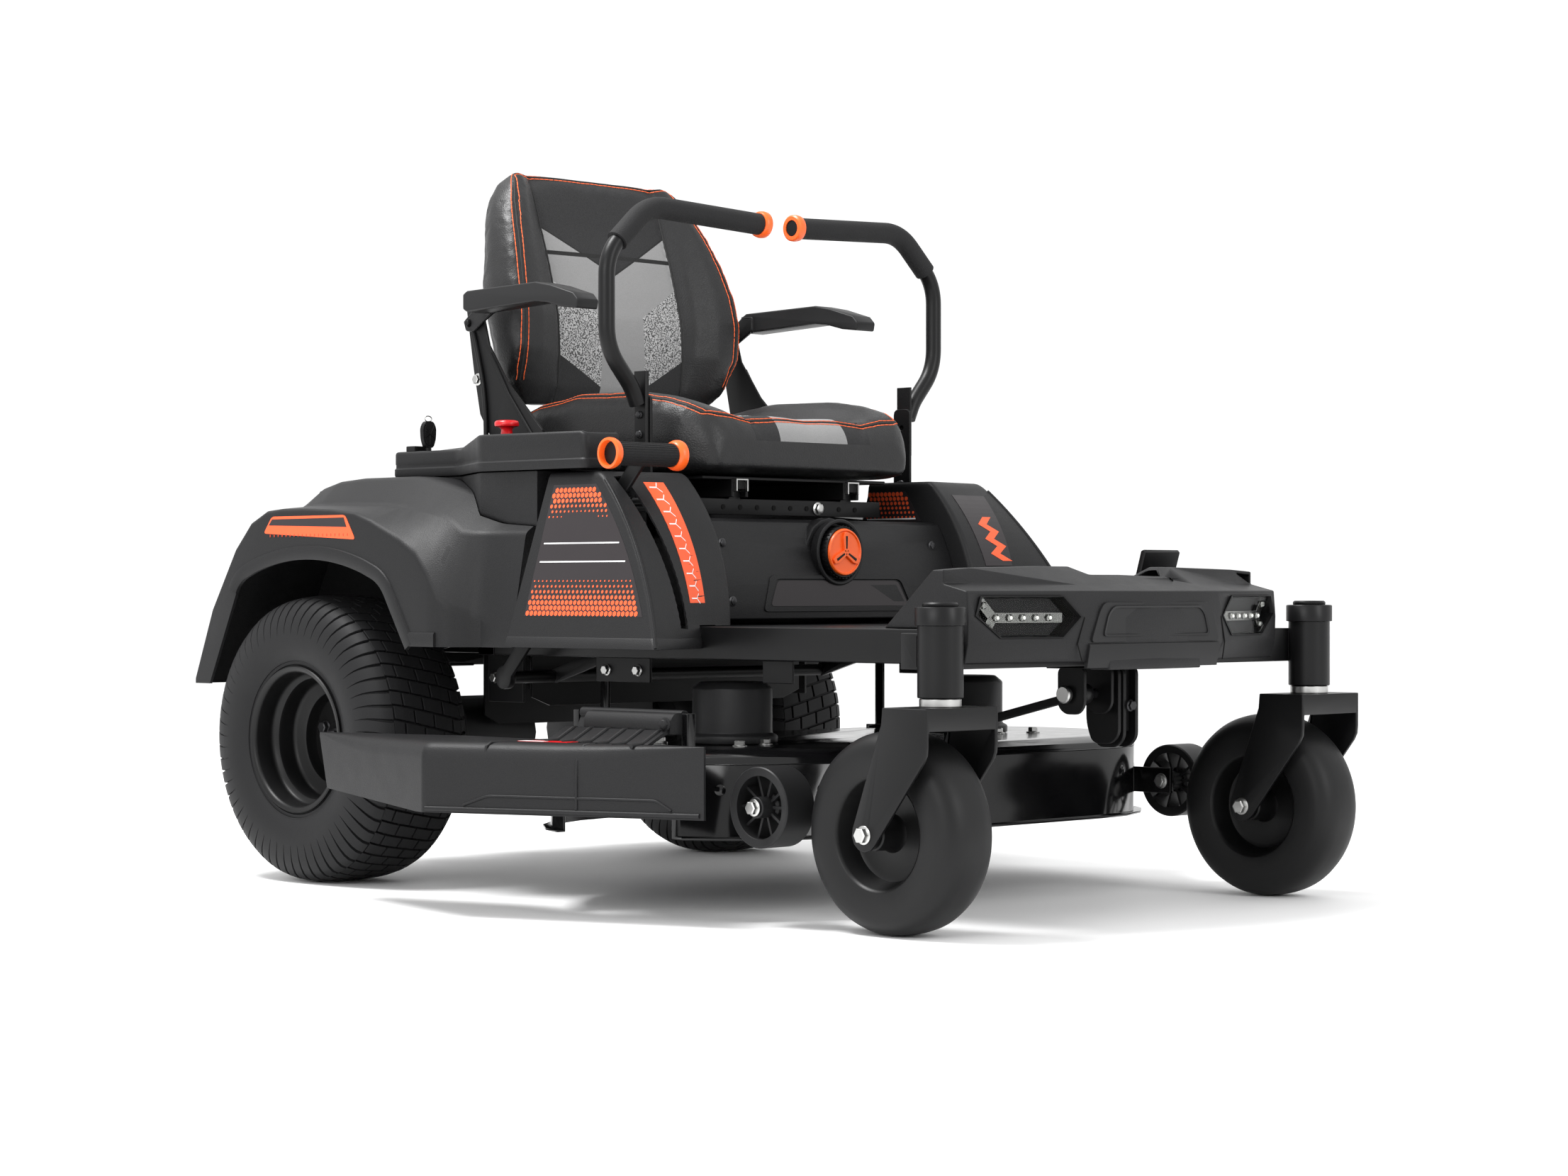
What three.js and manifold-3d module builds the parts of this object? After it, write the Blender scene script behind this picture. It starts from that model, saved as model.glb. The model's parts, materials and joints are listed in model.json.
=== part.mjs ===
// Battery zero turn mower: riding chassis, caster front, twin lap bars, floating side-discharge deck.
// Millimetres, +X forward, +Y to the operator's left, +Z up.
// Pieces are drawn from the ground point under the rear axle, then the whole machine is shifted
// so that the origin is the centre of its footprint.
import * as THREE from 'three';
import { mergeVertices } from 'three/addons/utils/BufferGeometryUtils.js';
import Module from 'manifold-3d';

const wasm = await Module();
wasm.setup();

// ---- driving dimensions ----
const GAP = 0.4;
const AXLE_Z = 230;
const REAR_TYRE_R = 230;
const REAR_WHEEL_Y = 430;
const REAR_HALF_W = 100;
const RIM_SEAT_R = 112;

const CASTER_X = 1295.5;
const CASTER_Y = 419;
const CASTER_R = 139.7;
const CASTER_TRAIL = 73;
const CASTER_TUBE_R = 31.2;
const CASTER_TUBE_Z0 = 324;
const CASTER_TUBE_Z1 = 446;
const FORK_TOP = 312;
const FORK_HALF_W = 72.5;
const PLATE = 6;

const RAIL_Z0 = 367;
const RAIL_Z1 = 415.7;
const RAIL_IN = 322;
const RAIL_OUT = 360;
const RAIL_REAR_X = 300;
const BEAM_X0 = 1222;
const BEAM_X1 = 1272;
const BEAM_Z0 = 361;
const BEAM_Z1 = 411;
const REAR_RAIL_IN = 215;
const REAR_RAIL_OUT = 265;
const TAIL_X = -291;

const DECK_X = 735;
const DECK_Y = 262;
const DECK_R = 272;
const DECK_WALL = 4;
const DECK_LIP = 12;
const DECK_Z0 = 115;
const DECK_Z1 = 240;
const BLADE_LENGTH = 518;
const GAUGE_X = 1016;
const GAUGE_Y = 459;
const GAUGE_Z = 167;
const GAUGE_R = 57;

const LIFT_X = 375;
const LIFT_Z = 334;
const LIFT_ARM = 134;
const LIFT_REST = THREE.MathUtils.degToRad(16.5);
const LEVER_Y = -402;
const LEVER_GRIP = { x: 691, z: 669.5 };

const POD_IN = 274;
const POD_TOP = 646;
const POD_BOTTOM = 383;
const ARM_X = 571;
const ARM_Y = 291;
const ARM_PIVOT_Z = 560;
const SWING_Z = 604;
const DIAL_Z = 528;
const SHELL = 4;

// ---- finishes ----
const finish = (color, roughness, metalness) => ({ color, roughness, metalness });
const GRAINED = finish(0x353637, 0.7, 0);
const FRAME_BLACK = finish(0x161617, 0.4, 0.4);
const DECK_BLACK = finish(0x0b0b0c, 0.15, 0.3);
const TYRE = finish(0x1a1a1b, 0.85, 0);
const RIM_BLACK = finish(0x141415, 0.4, 0.2);
const ORANGE = finish(0xf0642c, 0.5, 0);
const RED = finish(0xc8101a, 0.4, 0);
const STEEL = finish(0x9c9fa2, 0.35, 0.9);
const FOAM = finish(0x202122, 0.9, 0);
const LEATHER = finish(0x1d1d1e, 0.6, 0);
const CLEAR = finish(0xd8dcdf, 0.1, 0);

// ---- shape helpers ----
function solid(geometry) {
  const bare = new THREE.BufferGeometry();
  bare.setAttribute('position', geometry.attributes.position);
  bare.setIndex(geometry.index);
  const merged = mergeVertices(bare, 1e-3);
  const points = merged.attributes.position.array;
  const corner = (i) => new THREE.Vector3().fromArray(points, 3 * i);
  const triangles = [];
  let volume = 0;
  for (let i = 0; i < merged.index.count; i += 3) {
    const [a, b, c] = merged.index.array.slice(i, i + 3);
    if (a === b || b === c || c === a) continue;
    triangles.push(a, b, c);
    volume += corner(a).dot(corner(b).cross(corner(c)));
  }
  if (volume < 0) triangles.reverse();
  const mesh = new wasm.Mesh({
    numProp: 3,
    vertProperties: new Float32Array(points),
    triVerts: new Uint32Array(triangles),
  });
  return new wasm.Manifold(mesh);
}

const join = (...parts) => parts.reduce((sum, next) => sum.add(next));
const cut = (base, ...tools) => tools.reduce((left, tool) => left.subtract(tool), base);
const mirrorY = (shape) => shape.mirror([0, 1, 0]);
const onSide = (shape, side) => (side > 0 ? shape : mirrorY(shape));

function box(x0, x1, y0, y1, z0, z1) {
  const geometry = new THREE.BoxGeometry(x1 - x0, y1 - y0, z1 - z0);
  geometry.translate((x0 + x1) / 2, (y0 + y1) / 2, (z0 + z1) / 2);
  return solid(geometry);
}

function extrudeAlong(outline, depth, basis, start) {
  const shape = new THREE.Shape(outline.map(([u, v]) => new THREE.Vector2(u, v)));
  const geometry = new THREE.ExtrudeGeometry(shape, { depth, bevelEnabled: false, curveSegments: 12 });
  geometry.applyMatrix4(basis);
  geometry.translate(...start);
  return solid(geometry);
}

const AXES = {
  x: new THREE.Vector3(1, 0, 0),
  y: new THREE.Vector3(0, 1, 0),
  z: new THREE.Vector3(0, 0, 1),
};
const BASIS_XZ = new THREE.Matrix4().makeBasis(AXES.x, AXES.z, AXES.y);
const BASIS_YZ = new THREE.Matrix4().makeBasis(AXES.y, AXES.z, AXES.x);

const sideView = (outline, y0, y1) => extrudeAlong(outline, y1 - y0, BASIS_XZ, [0, y0, 0]);
const frontView = (outline, x0, x1) => extrudeAlong(outline, x1 - x0, BASIS_YZ, [x0, 0, 0]);
const planView = (outline, z0, z1) => extrudeAlong(outline, z1 - z0, new THREE.Matrix4(), [0, 0, z0]);

// A solid of revolution from [radius, height] points, about the Y, X or Z axis through a point.
function lathe(profile, axis, [x, y, z], segments = 32) {
  const geometry = new THREE.LatheGeometry(profile.map(([r, h]) => new THREE.Vector2(r, h)), segments);
  if (axis === 'z') geometry.rotateX(Math.PI / 2);
  if (axis === 'x') geometry.rotateZ(-Math.PI / 2);
  geometry.translate(x, y, z);
  return solid(geometry);
}

function rod(radius, from, to, axis, [x, y, z], segments = 12) {
  return lathe([[0, from], [radius, from], [radius, to], [0, to]], axis, [x, y, z], segments);
}

function arc([cx, cy], radius, fromDeg, toDeg, steps) {
  return Array.from({ length: steps + 1 }, (_, i) => {
    const angle = THREE.MathUtils.degToRad(fromDeg + ((toDeg - fromDeg) * i) / steps);
    return [cx + radius * Math.cos(angle), cy + radius * Math.sin(angle)];
  });
}

// A closed skin through rings of equally many points, capped at both ends.
function loft(rings) {
  const count = rings[0].length;
  const positions = rings.flat(2);
  const index = [];
  for (let ring = 0; ring + 1 < rings.length; ring += 1) {
    for (let i = 0; i < count; i += 1) {
      const next = (i + 1) % count;
      const a = ring * count + i;
      const b = ring * count + next;
      index.push(a, b, b + count, a, b + count, a + count);
    }
  }
  const spread = (k) => Math.max(...rings[0].map((p) => p[k])) - Math.min(...rings[0].map((p) => p[k]));
  const [u, v] = [0, 1, 2].sort((p, q) => spread(q) - spread(p)).slice(0, 2);
  for (const [ring, turn] of [[0, -1], [rings.length - 1, 1]]) {
    const outline = rings[ring].map((p) => new THREE.Vector2(p[u], p[v]));
    const ringTurn = Math.sign(THREE.ShapeUtils.area(outline));
    for (const face of THREE.ShapeUtils.triangulateShape(outline, [])) {
      const faceTurn = Math.sign(THREE.ShapeUtils.area(face.map((i) => outline[i])));
      const corners = face.map((i) => ring * count + i);
      index.push(...(faceTurn * turn === ringTurn ? corners : corners.reverse()));
    }
  }
  const geometry = new THREE.BufferGeometry();
  geometry.setAttribute('position', new THREE.Float32BufferAttribute(positions, 3));
  geometry.setIndex(index);
  return solid(geometry);
}

// A path of straight runs with its corners rounded by the given radius.
function roundedPath(points, radius) {
  const corners = points.map((p) => new THREE.Vector3(...p));
  const path = new THREE.CurvePath();
  let start = corners[0];
  for (let i = 1; i + 1 < corners.length; i += 1) {
    const before = start.clone().sub(corners[i]);
    const after = corners[i + 1].clone().sub(corners[i]);
    const reach = Math.min(radius, before.length() * 0.45, after.length() * 0.45);
    const into = corners[i].clone().add(before.setLength(reach));
    const out = corners[i].clone().add(after.setLength(reach));
    path.add(new THREE.LineCurve3(start, into));
    path.add(new THREE.QuadraticBezierCurve3(into, corners[i], out));
    start = out;
  }
  path.add(new THREE.LineCurve3(start, corners.at(-1)));
  return path;
}

function tube(points, bend, radius, steps, sides = 8) {
  const ring = arc([0, 0], radius, 0, 360 - 360 / sides, sides - 1);
  const section = new THREE.Shape(ring.map((p) => new THREE.Vector2(...p)));
  const path = roundedPath(points, bend);
  return solid(new THREE.ExtrudeGeometry(section, { steps, extrudePath: path, bevelEnabled: false }));
}

const mower = new THREE.Group();

function add(name, shape, { color, roughness, metalness }) {
  const { vertProperties, triVerts } = shape.getMesh();
  const geometry = new THREE.BufferGeometry();
  geometry.setAttribute('position', new THREE.BufferAttribute(vertProperties, 3));
  geometry.setIndex(new THREE.BufferAttribute(triVerts, 1));
  const mesh = new THREE.Mesh(geometry, new THREE.MeshStandardMaterial({ color, roughness, metalness }));
  mesh.name = name;
  mower.add(mesh);
}

const SIDES = [['left', 1], ['right', -1]];

// ---- frame ----
function squareTube(x0, x1, y0, y1, z0, z1, along, wall = 3) {
  const inner = [x0 + wall, x1 - wall, y0 + wall, y1 - wall, z0 + wall, z1 - wall];
  const k = { x: 0, y: 2 }[along];
  inner[k] -= 2 * wall;
  inner[k + 1] += 2 * wall;
  return cut(box(x0, x1, y0, y1, z0, z1), box(...inner));
}

// Side rail with the upright that carries the steering arm's pivot pin.
function frameRail() {
  const tubeBar = squareTube(RAIL_REAR_X + GAP, BEAM_X0 - GAP, RAIL_IN, RAIL_OUT, RAIL_Z0, RAIL_Z1, 'x');
  const upright = box(ARM_X - 26, ARM_X + 26, RAIL_IN, RAIL_IN + 5, RAIL_Z1 - 2, ARM_PIVOT_Z + 20);
  const pin = rod(6, 282, RAIL_IN + 2, 'y', [ARM_X, 0, ARM_PIVOT_Z], 16);
  return join(tubeBar, upright, pin);
}

function rearFrame() {
  const rail = squareTube(TAIL_X + 5, RAIL_REAR_X - 37, REAR_RAIL_IN, REAR_RAIL_OUT, RAIL_Z0, RAIL_Z1, 'x');
  const cross = squareTube(RAIL_REAR_X - 38, RAIL_REAR_X, -RAIL_OUT, RAIL_OUT, RAIL_Z0, RAIL_Z1, 'y');
  const tail = box(TAIL_X, TAIL_X + 6, -REAR_RAIL_OUT, REAR_RAIL_OUT, 335, RAIL_Z1);
  const hitch = box(TAIL_X, TAIL_X + 60, -45, 45, 335, 341);
  const hitchHole = rod(9, 330, 345, 'z', [TAIL_X + 28, 0, 0], 20);
  const tray = box(-230, RAIL_REAR_X - 30, -REAR_RAIL_IN - 2, REAR_RAIL_IN + 2, RAIL_Z0, RAIL_Z0 + 4);
  const railEnd = rod(15, TAIL_X - 5, TAIL_X + 12, 'x', [0, (REAR_RAIL_IN + REAR_RAIL_OUT) / 2, 391], 20);
  return cut(join(rail, mirrorY(rail), cross, tail, hitch, tray), hitchHole, railEnd, mirrorY(railEnd));
}

function casterTube() {
  return lathe([
    [20, CASTER_TUBE_Z0], [CASTER_TUBE_R, CASTER_TUBE_Z0], [CASTER_TUBE_R, 422], [34.5, 423],
    [34.5, CASTER_TUBE_Z1], [20, CASTER_TUBE_Z1], [20, CASTER_TUBE_Z0],
  ], 'z', [CASTER_X, CASTER_Y, 0], 16);
}

function frontBeam() {
  const beam = squareTube(BEAM_X0, BEAM_X1, -CASTER_Y, CASTER_Y, BEAM_Z0, BEAM_Z1, 'y');
  const cope = rod(CASTER_TUBE_R - 2, 300, 460, 'z', [CASTER_X, CASTER_Y, 0], 20);
  const trimmed = cut(beam, cope, mirrorY(cope));
  const endCap = box(BEAM_X0, BEAM_X0 + 30, CASTER_Y - 6, CASTER_Y, BEAM_Z0, BEAM_Z1);
  return join(trimmed, endCap, mirrorY(endCap), casterTube(), mirrorY(casterTube()));
}

function casterCap() {
  return lathe([
    [0, CASTER_TUBE_Z1 - 7], [19, CASTER_TUBE_Z1 - 7], [19, CASTER_TUBE_Z1 + GAP],
    [24.5, CASTER_TUBE_Z1 + GAP], [24.5, CASTER_TUBE_Z1 + 5], [22, CASTER_TUBE_Z1 + 7],
    [0, CASTER_TUBE_Z1 + 7],
  ], 'z', [CASTER_X, CASTER_Y, 0], 16);
}

function floorPan() {
  const x0 = 480;
  const x1 = BEAM_X0 - GAP;
  const half = RAIL_IN - GAP;
  const sheet = box(x0, x1, -half, half, RAIL_Z1 - 4, RAIL_Z1);
  const flanges = [x0, x1 - 4, (x0 + x1) / 2].map((x) => box(x, x + 4, -half, half, 388, RAIL_Z1));
  const ribs = [-160, 0, 160].map((y) => box(x0, x1, y - 10, y + 10, RAIL_Z1 - 12, RAIL_Z1));
  return join(sheet, ...flanges, ...ribs);
}

// ---- front cowl ----
// The side profile of the cowl at one station, set back from the outer skin by an inset.
function cowlRing(y, front, crown, inset) {
  const z0 = inset ? BEAM_Z0 - 30 : 368;
  const step = inset ? BEAM_Z0 - 20 : RAIL_Z1 + GAP;
  const toe = inset ? 1056 : 1128;
  return [
    [toe + 2 * inset, y, step],
    [1219 + inset, y, crown - inset * 1.4],
    [1238, y, crown - inset * 1.2],
    [front - 43, y, 478 - inset],
    [front - inset, y, 468 - inset],
    [front + 3 - inset, y, 430],
    [front + 2 - inset, y, 394],
    [front - 4 - inset, y, z0],
    [BEAM_X0 + GAP + inset, y, z0],
    [BEAM_X0 + GAP + inset / 2, y, inset ? step - 6 : step],
  ];
}

function cowlSkin(inset) {
  const stations = [[350, 1281, 497], [300, 1293, 500], [149, 1327, 503], [0, 1335, 503]];
  const half = stations.map(([y, front, crown]) => [y - (y > 340 ? inset : 0), front, crown]);
  const all = [...half.map(([y, ...rest]) => [-y, ...rest]), ...half.slice(0, -1).reverse()];
  return loft(all.map(([y, front, crown]) => cowlRing(y, front, crown, inset)));
}

const LAMP_OUTLINE = [[193, 460], [328, 460], [336, 434], [296, 404], [193, 404], [163, 432]];

function frontCowl() {
  const shell = cut(cowlSkin(0), cowlSkin(SHELL));
  const chinPlan = [[1300, -112], [1331, -104], [1338, 0], [1331, 104], [1300, 112], [1296, 0]];
  const chin = planView(chinPlan, 357, 372);
  const notch = frontView([[-96, 512], [-58, 486], [96, 486], [140, 512]], 1205, 1262);
  const notchFloor = box(1212, 1272, -66, 108, 481, 486);
  const beamWay = box(BEAM_X0 - 2, BEAM_X1 + GAP, -360, 360, 350, BEAM_Z1 + GAP);
  const lampHole = frontView(LAMP_OUTLINE, 1262, 1360);
  const pedalSlot = box(1128, 1214, 206, 238, 400, 520);
  const cleared = cut(join(shell, chin), notch, beamWay, lampHole, mirrorY(lampHole), pedalSlot);
  return join(cleared, notchFloor);
}

// The lamp unit fills its window, a little behind the skin.
function headlight() {
  const inner = LAMP_OUTLINE.map(([y, z]) => [246 + (y - 246) * 0.985, 432 + (z - 432) * 0.97]);
  return cowlSkin(7).intersect(frontView(inner, BEAM_X1 + 1, 1360));
}

// ---- rear wheels and casters ----
function rearTyre() {
  const half = [[RIM_SEAT_R, 85], [118, 86], [135, 96], [165, REAR_HALF_W], [205, 96], [224, 78]];
  const down = half.map(([r, h]) => [r, -h]);
  const profile = [...half, [REAR_TYRE_R, 30], [REAR_TYRE_R, -30], ...down.reverse(), half[0]];
  return lathe(profile, 'y', [0, REAR_WHEEL_Y, AXLE_Z], 28);
}

// Stepped dish rim with the wheel hub and its stub shaft.
function rearRim() {
  const profile = [
    [0, 10], [28, 10], [28, 0], [72, 0], [96, 14], [96, 50], [107, 58], [107, 92],
    [117, 92], [111, 86.5], [111, -86.5], [117, -92], [107, -92], [107, 50],
    [100, 45], [100, 10], [62, -14], [20, -14], [20, -96], [0, -96],
  ];
  return lathe(profile, 'y', [0, REAR_WHEEL_Y, AXLE_Z], 16);
}

function driveMotor() {
  const can = lathe([
    [0, 62], [58, 62], [62, 66], [62, 228], [90, 236], [90, 298], [45, 306], [45, 333], [0, 333],
  ], 'y', [0, 0, AXLE_Z], 16);
  const plate = box(-70, 70, 262, 270, AXLE_Z, RAIL_Z0 - GAP);
  return join(can, plate);
}

function casterTyre() {
  const half = [[78, 46], [92, 49], [114, 50], [130, 42], [138, 24]];
  const down = half.map(([r, h]) => [r, -h]);
  const profile = [...half, [CASTER_R, 0], ...down.reverse(), half[0]];
  return lathe(profile, 'y', [CASTER_X - CASTER_TRAIL, CASTER_Y, CASTER_R], 24);
}

function casterHub() {
  const half = [[10.4, 56], [22, 56], [24, 16], [66, 16], [76.8, 45]];
  const down = half.map(([r, h]) => [r, -h]);
  const profile = [...half, ...down.reverse(), half[0]];
  return lathe(profile, 'y', [CASTER_X - CASTER_TRAIL, CASTER_Y, CASTER_R], 16);
}

function casterFork() {
  const axleX = -CASTER_TRAIL;
  const leg = [
    [-40, FORK_TOP], [-42, FORK_TOP - 22],
    ...arc([axleX, CASTER_R], 23, 160, 325, 6),
    [34, 240], [39, 250], [40, 262], [40, FORK_TOP],
  ];
  const legShape = sideView(leg, FORK_HALF_W - PLATE, FORK_HALF_W);
  const top = box(-40, 40, -FORK_HALF_W, FORK_HALF_W, FORK_TOP - PLATE, FORK_TOP);
  const web = box(34, 40, -FORK_HALF_W, FORK_HALF_W, FORK_TOP - 31, FORK_TOP);
  const stem = lathe([
    [0, FORK_TOP - 2], [27, FORK_TOP - 2], [27, CASTER_TUBE_Z0 - GAP], [12.7, CASTER_TUBE_Z0 - GAP],
    [12.7, CASTER_TUBE_Z1 - 9], [0, CASTER_TUBE_Z1 - 9],
  ], 'z', [0, 0, 0], 12);
  const bolt = rod(9.5, -FORK_HALF_W - 9, FORK_HALF_W + 9, 'y', [axleX, 0, CASTER_R]);
  const fork = join(legShape, mirrorY(legShape), top, web, stem, bolt);
  return fork.translate([CASTER_X, CASTER_Y, 0]);
}

// ---- fenders ----
const POD_SEAM_X = 477;
// Cross-sections: x, outer reach, shoulder height, ledge reach, ledge height, hump height, lowest edge.
const FENDER_STATIONS = [
  [-272, 520, 326, 440, 332, 336, 315],
  [-162, 520, 536, 440, 560, 575, 315],
  [-79, 520, 596, 440, 604, 637, 315],
  [20, 520, 599, 440, 606, 650, 345],
  [150, 520, 590, 445, 603, 650, 382],
  [224, 520, 562, 455, 598, 640, 382],
  [300, 520, 525, 462, 585, 622, 382],
  [351, 518, 458, 468, 560, 604, 382],
  [404, 474, 430, 452, 556, 592, 382],
  [POD_SEAM_X, 474, 400, 446, 556, 586, 382],
];

function fenderSkin(inset) {
  const rings = FENDER_STATIONS.map(([x, reach, shoulder, ledge, ledgeZ, hump, low], i) => {
    const last = i === FENDER_STATIONS.length - 1;
    const shift = last ? 8 * Math.sign(inset) : (i === 0 ? inset : 0);
    const bottom = inset ? low - 60 : low;
    return [
      [x + shift, 300 + inset, bottom],
      [x + shift, reach - inset, bottom],
      [x + shift, reach - inset, shoulder - inset],
      [x + shift, ledge, ledgeZ - inset],
      [x + shift, 400, hump - inset],
      [x + shift, 300 + inset, hump - inset],
    ];
  });
  return loft(rings);
}

function fender() {
  const arch = [
    [-240, 300], [-145, 484], ...arc([37, 300], 218, 122, 58, 8), [219, 487], [279, 383.5], [279, 300],
  ];
  const opening = sideView(arch, 420, 540);
  const railWay = box(200, 500, RAIL_IN - 6, RAIL_OUT + 6, 360, RAIL_Z1 + 4);
  const crossWay = box(RAIL_REAR_X - 45, RAIL_REAR_X + 7, 290, RAIL_OUT + 6, 360, RAIL_Z1 + 4);
  return cut(fenderSkin(0), fenderSkin(5), opening, railWay, crossWay);
}

// ---- control pods ----
const innerFront = (z) => 452 + Math.sqrt(295 ** 2 - (z - 425) ** 2);
const outerFront = (z) => 229 + Math.sqrt(621 ** 2 - (z - 166) ** 2);
const podReach = (z) => 490 - ((z - POD_BOTTOM) * 63) / 263;
const podRear = (z) => 479 + ((z - POD_BOTTOM) * 32) / 263;

function podSkin(inset) {
  const heights = [POD_BOTTOM - (inset ? 30 : 0), 430, 480, 530, 580, 620, POD_TOP - inset];
  return loft(heights.map((z) => [
    [podRear(z) - 4 * inset, POD_IN + inset, z],
    [innerFront(z) - inset, POD_IN + inset, z],
    [outerFront(z) - inset, podReach(z) - inset, z],
    [podRear(z) - 4 * inset, podReach(z) - inset, z],
  ]));
}

function pod(side) {
  const armSlot = box(ARM_X - 50, ARM_X + 50, 281, 328, 600, 660);
  const railWay = box(470, 830, RAIL_IN - 2, RAIL_OUT + 2, 360, RAIL_Z1 + 2);
  const floorWay = box(470, 830, 200, RAIL_IN, 360, RAIL_Z1 + 1);
  const shell = cut(podSkin(0), podSkin(SHELL), armSlot, railWay, floorWay);
  if (side > 0) return shell;
  const sector = [[0, 0], ...arc([0, 0], 480, 11, 49.4, 8)].map(([x, z]) => [x + LIFT_X, z + LIFT_Z]);
  const leverSlot = sideView(sector, -LEVER_Y - 9, -LEVER_Y + 9);
  return cut(shell, leverSlot);
}

// ---- right-hand console: a bin behind the pod, closed by the switch panel ----
const PANEL_PLAN = [
  [38, 298], [38, 352], [203, 352], [358, 440], [604, 440], [604, 364], [490, 364], [490, 298],
];
const PANEL_INSIDE = [
  [42, 302], [42, 348], [204, 348], [359, 436], [600, 436], [600, 368], [486, 368], [486, 302],
];
const STOP_AT = [322, -352, 708];
const KEY_AT = [96, -326, 693];

function consolePanel() {
  const onRight = (plan) => plan.map(([x, y]) => [x, -y]);
  const side = [[30, 650], [30, 690], [42, 693], [215, 693], [290, 708], [590, 708], [604, 700], [604, 650]];
  const body = planView(onRight(PANEL_PLAN), 651, 712).intersect(sideView(side, -445, -290));
  const hollow = planView(onRight(PANEL_INSIDE), 640, 684);
  const stopHole = rod(9, 600, 800, 'z', [STOP_AT[0], STOP_AT[1], 0], 20);
  const keyHole = rod(5, 600, 800, 'z', [KEY_AT[0], KEY_AT[1], 0], 16);
  const keySwitch = box(62, 80, -342, -308, 690, 701);
  return join(cut(body, hollow, stopHole, keyHole), keySwitch);
}

const BIN_SIDE = [[60, 650.4], [488, 650.4], [484, 562], [415, 567], [180, 617]];
const BIN_PLAN = [[60, 304], [60, 346], [206, 346], [352, 430], [484, 430], [484, 304]];
const BIN_MIDDLE = [272, -367];

// The bin's solid outline, grown or shrunk all round.
function binShape(grow) {
  const wider = (x) => BIN_MIDDLE[0] + (x - BIN_MIDDLE[0]) * (1 + grow / 210);
  const deeper = (y) => BIN_MIDDLE[1] + (y - BIN_MIDDLE[1]) * (1 + grow / 62);
  const plan = BIN_PLAN.map(([x, y]) => [wider(x), deeper(-y)]);
  const side = BIN_SIDE.map(([x, z]) => [wider(x), z - (z < 640 ? grow : 0)]);
  return planView(plan, 540, 655).intersect(sideView(side, -450, -280));
}

function consoleBin() {
  const inside = binShape(-SHELL);
  const hollow = inside.translate([0, 0, 3]).intersect(box(0, 600, -460, -280, 500, 640));
  const mouth = inside.translate([0, 0, 6]).intersect(box(66, 480, -424, -310, 630, 670));
  return cut(binShape(0), hollow, mouth);
}

// ---- seat base ----
const PANEL_R = 280;
const PANEL_CENTRE = [430, 425];

function seatBaseCover() {
  const half = POD_IN - GAP;
  const outer = arc(PANEL_CENTRE, PANEL_R, 0, 32, 6);
  const inner = arc(PANEL_CENTRE, PANEL_R - SHELL, 32, 0, 6);
  const top = outer.at(-1);
  const profile = [
    ...outer, [top[0] - 12, top[1] + 5], [614, 580], [614, 576], [top[0] - 12, top[1] + 1], ...inner,
  ].map(([x, z]) => [x, Math.max(z, RAIL_Z1 + GAP)]);
  const sheet = sideView(profile, -half, half);
  const backing = rod(54, 664, 686, 'x', [0, 0, DIAL_Z], 16);
  const recess = rod(45, 686, 740, 'x', [0, 0, DIAL_Z], 16);
  const stemHole = rod(10.8, 600, 740, 'x', [0, 0, DIAL_Z], 12);
  return cut(join(sheet, backing), recess, stemHole);
}

function suspensionDial() {
  return lathe([
    [0, 650], [10, 650], [10, 690], [36, 690], [40.5, 694], [40.5, 716], [36, 722], [30, 724], [0, 724],
  ], 'x', [0, 0, DIAL_Z], 20);
}

function seatSupport() {
  const z0 = RAIL_Z1 + GAP;
  const sides = [226, -226].map((y) => box(120, 560, y - 3, y + 3, z0, 574));
  const top = box(120, 560, -229, 229, 568, 574);
  const front = box(554, 560, -229, 229, z0, 574);
  const window = rod(60, 500, 620, 'x', [0, 0, 490], 24);
  return cut(join(...sides, top, front), window);
}

function batteryPack() {
  const z0 = RAIL_Z0 + 4 + GAP;
  const body = box(-215, 255, -190, 190, z0, 545);
  const handles = [-120, 160].map((x) => box(x - 9, x + 9, -120, 120, 540, 556));
  const terminals = box(-20, 60, -50, 50, 540, 560);
  return join(body, ...handles, terminals);
}

function rearCover() {
  const profile = [
    [-262, RAIL_Z1 + GAP], [-262, 590], [-226, 636], [70, 648], [98, 648], [98, 644], [70, 644], [-224, 632],
    [-257, 588], [-257, RAIL_Z1 + GAP],
  ];
  const shell = sideView(profile, -299, 299);
  const slots = [450, 480, 510, 540].map((z) => box(-280, -240, -150, 150, z, z + 12));
  return cut(shell, ...slots);
}

// Sprung upper plate of the seat suspension, with the fixed halves of the slide rails.
function seatPlatform() {
  const plate = box(170, 600, -205, 205, 606, 611);
  const lip = box(594, 600, -205, 205, 586, 611);
  const rails = [-125, 125].map((y) => box(190, 600, y - 12, y + 12, 610, 624));
  return join(plate, lip, ...rails);
}

const ARMREST_PIVOT = [158, 899];

// Seat pan with the sliding halves of the rails and the side brackets that hold the backrest.
function seatPan() {
  const outline = [
    [203, 644], [330, 644], [330, 722], [246, 800], [200, 862], [181, 926],
    [144, 926], [163, 820], [178, 752], [203, 716],
  ];
  const pivot = rod(5, 284, 298, 'y', [ARMREST_PIVOT[0], 0, ARMREST_PIVOT[1]], 16);
  const bracket = join(sideView(outline, 281, 286), pivot);
  const strap = box(203, 330, -286, 286, 640, 645);
  const plate = box(180, 612, -205, 205, 640, 645);
  const rails = [-125, 125].map((y) => cut(
    box(180, 612, y - 18, y + 18, 613, 642),
    box(170, 620, y - 12.5, y + 12.5, 600, 625),
  ));
  return join(plate, strap, bracket, mirrorY(bracket), ...rails);
}

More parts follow.
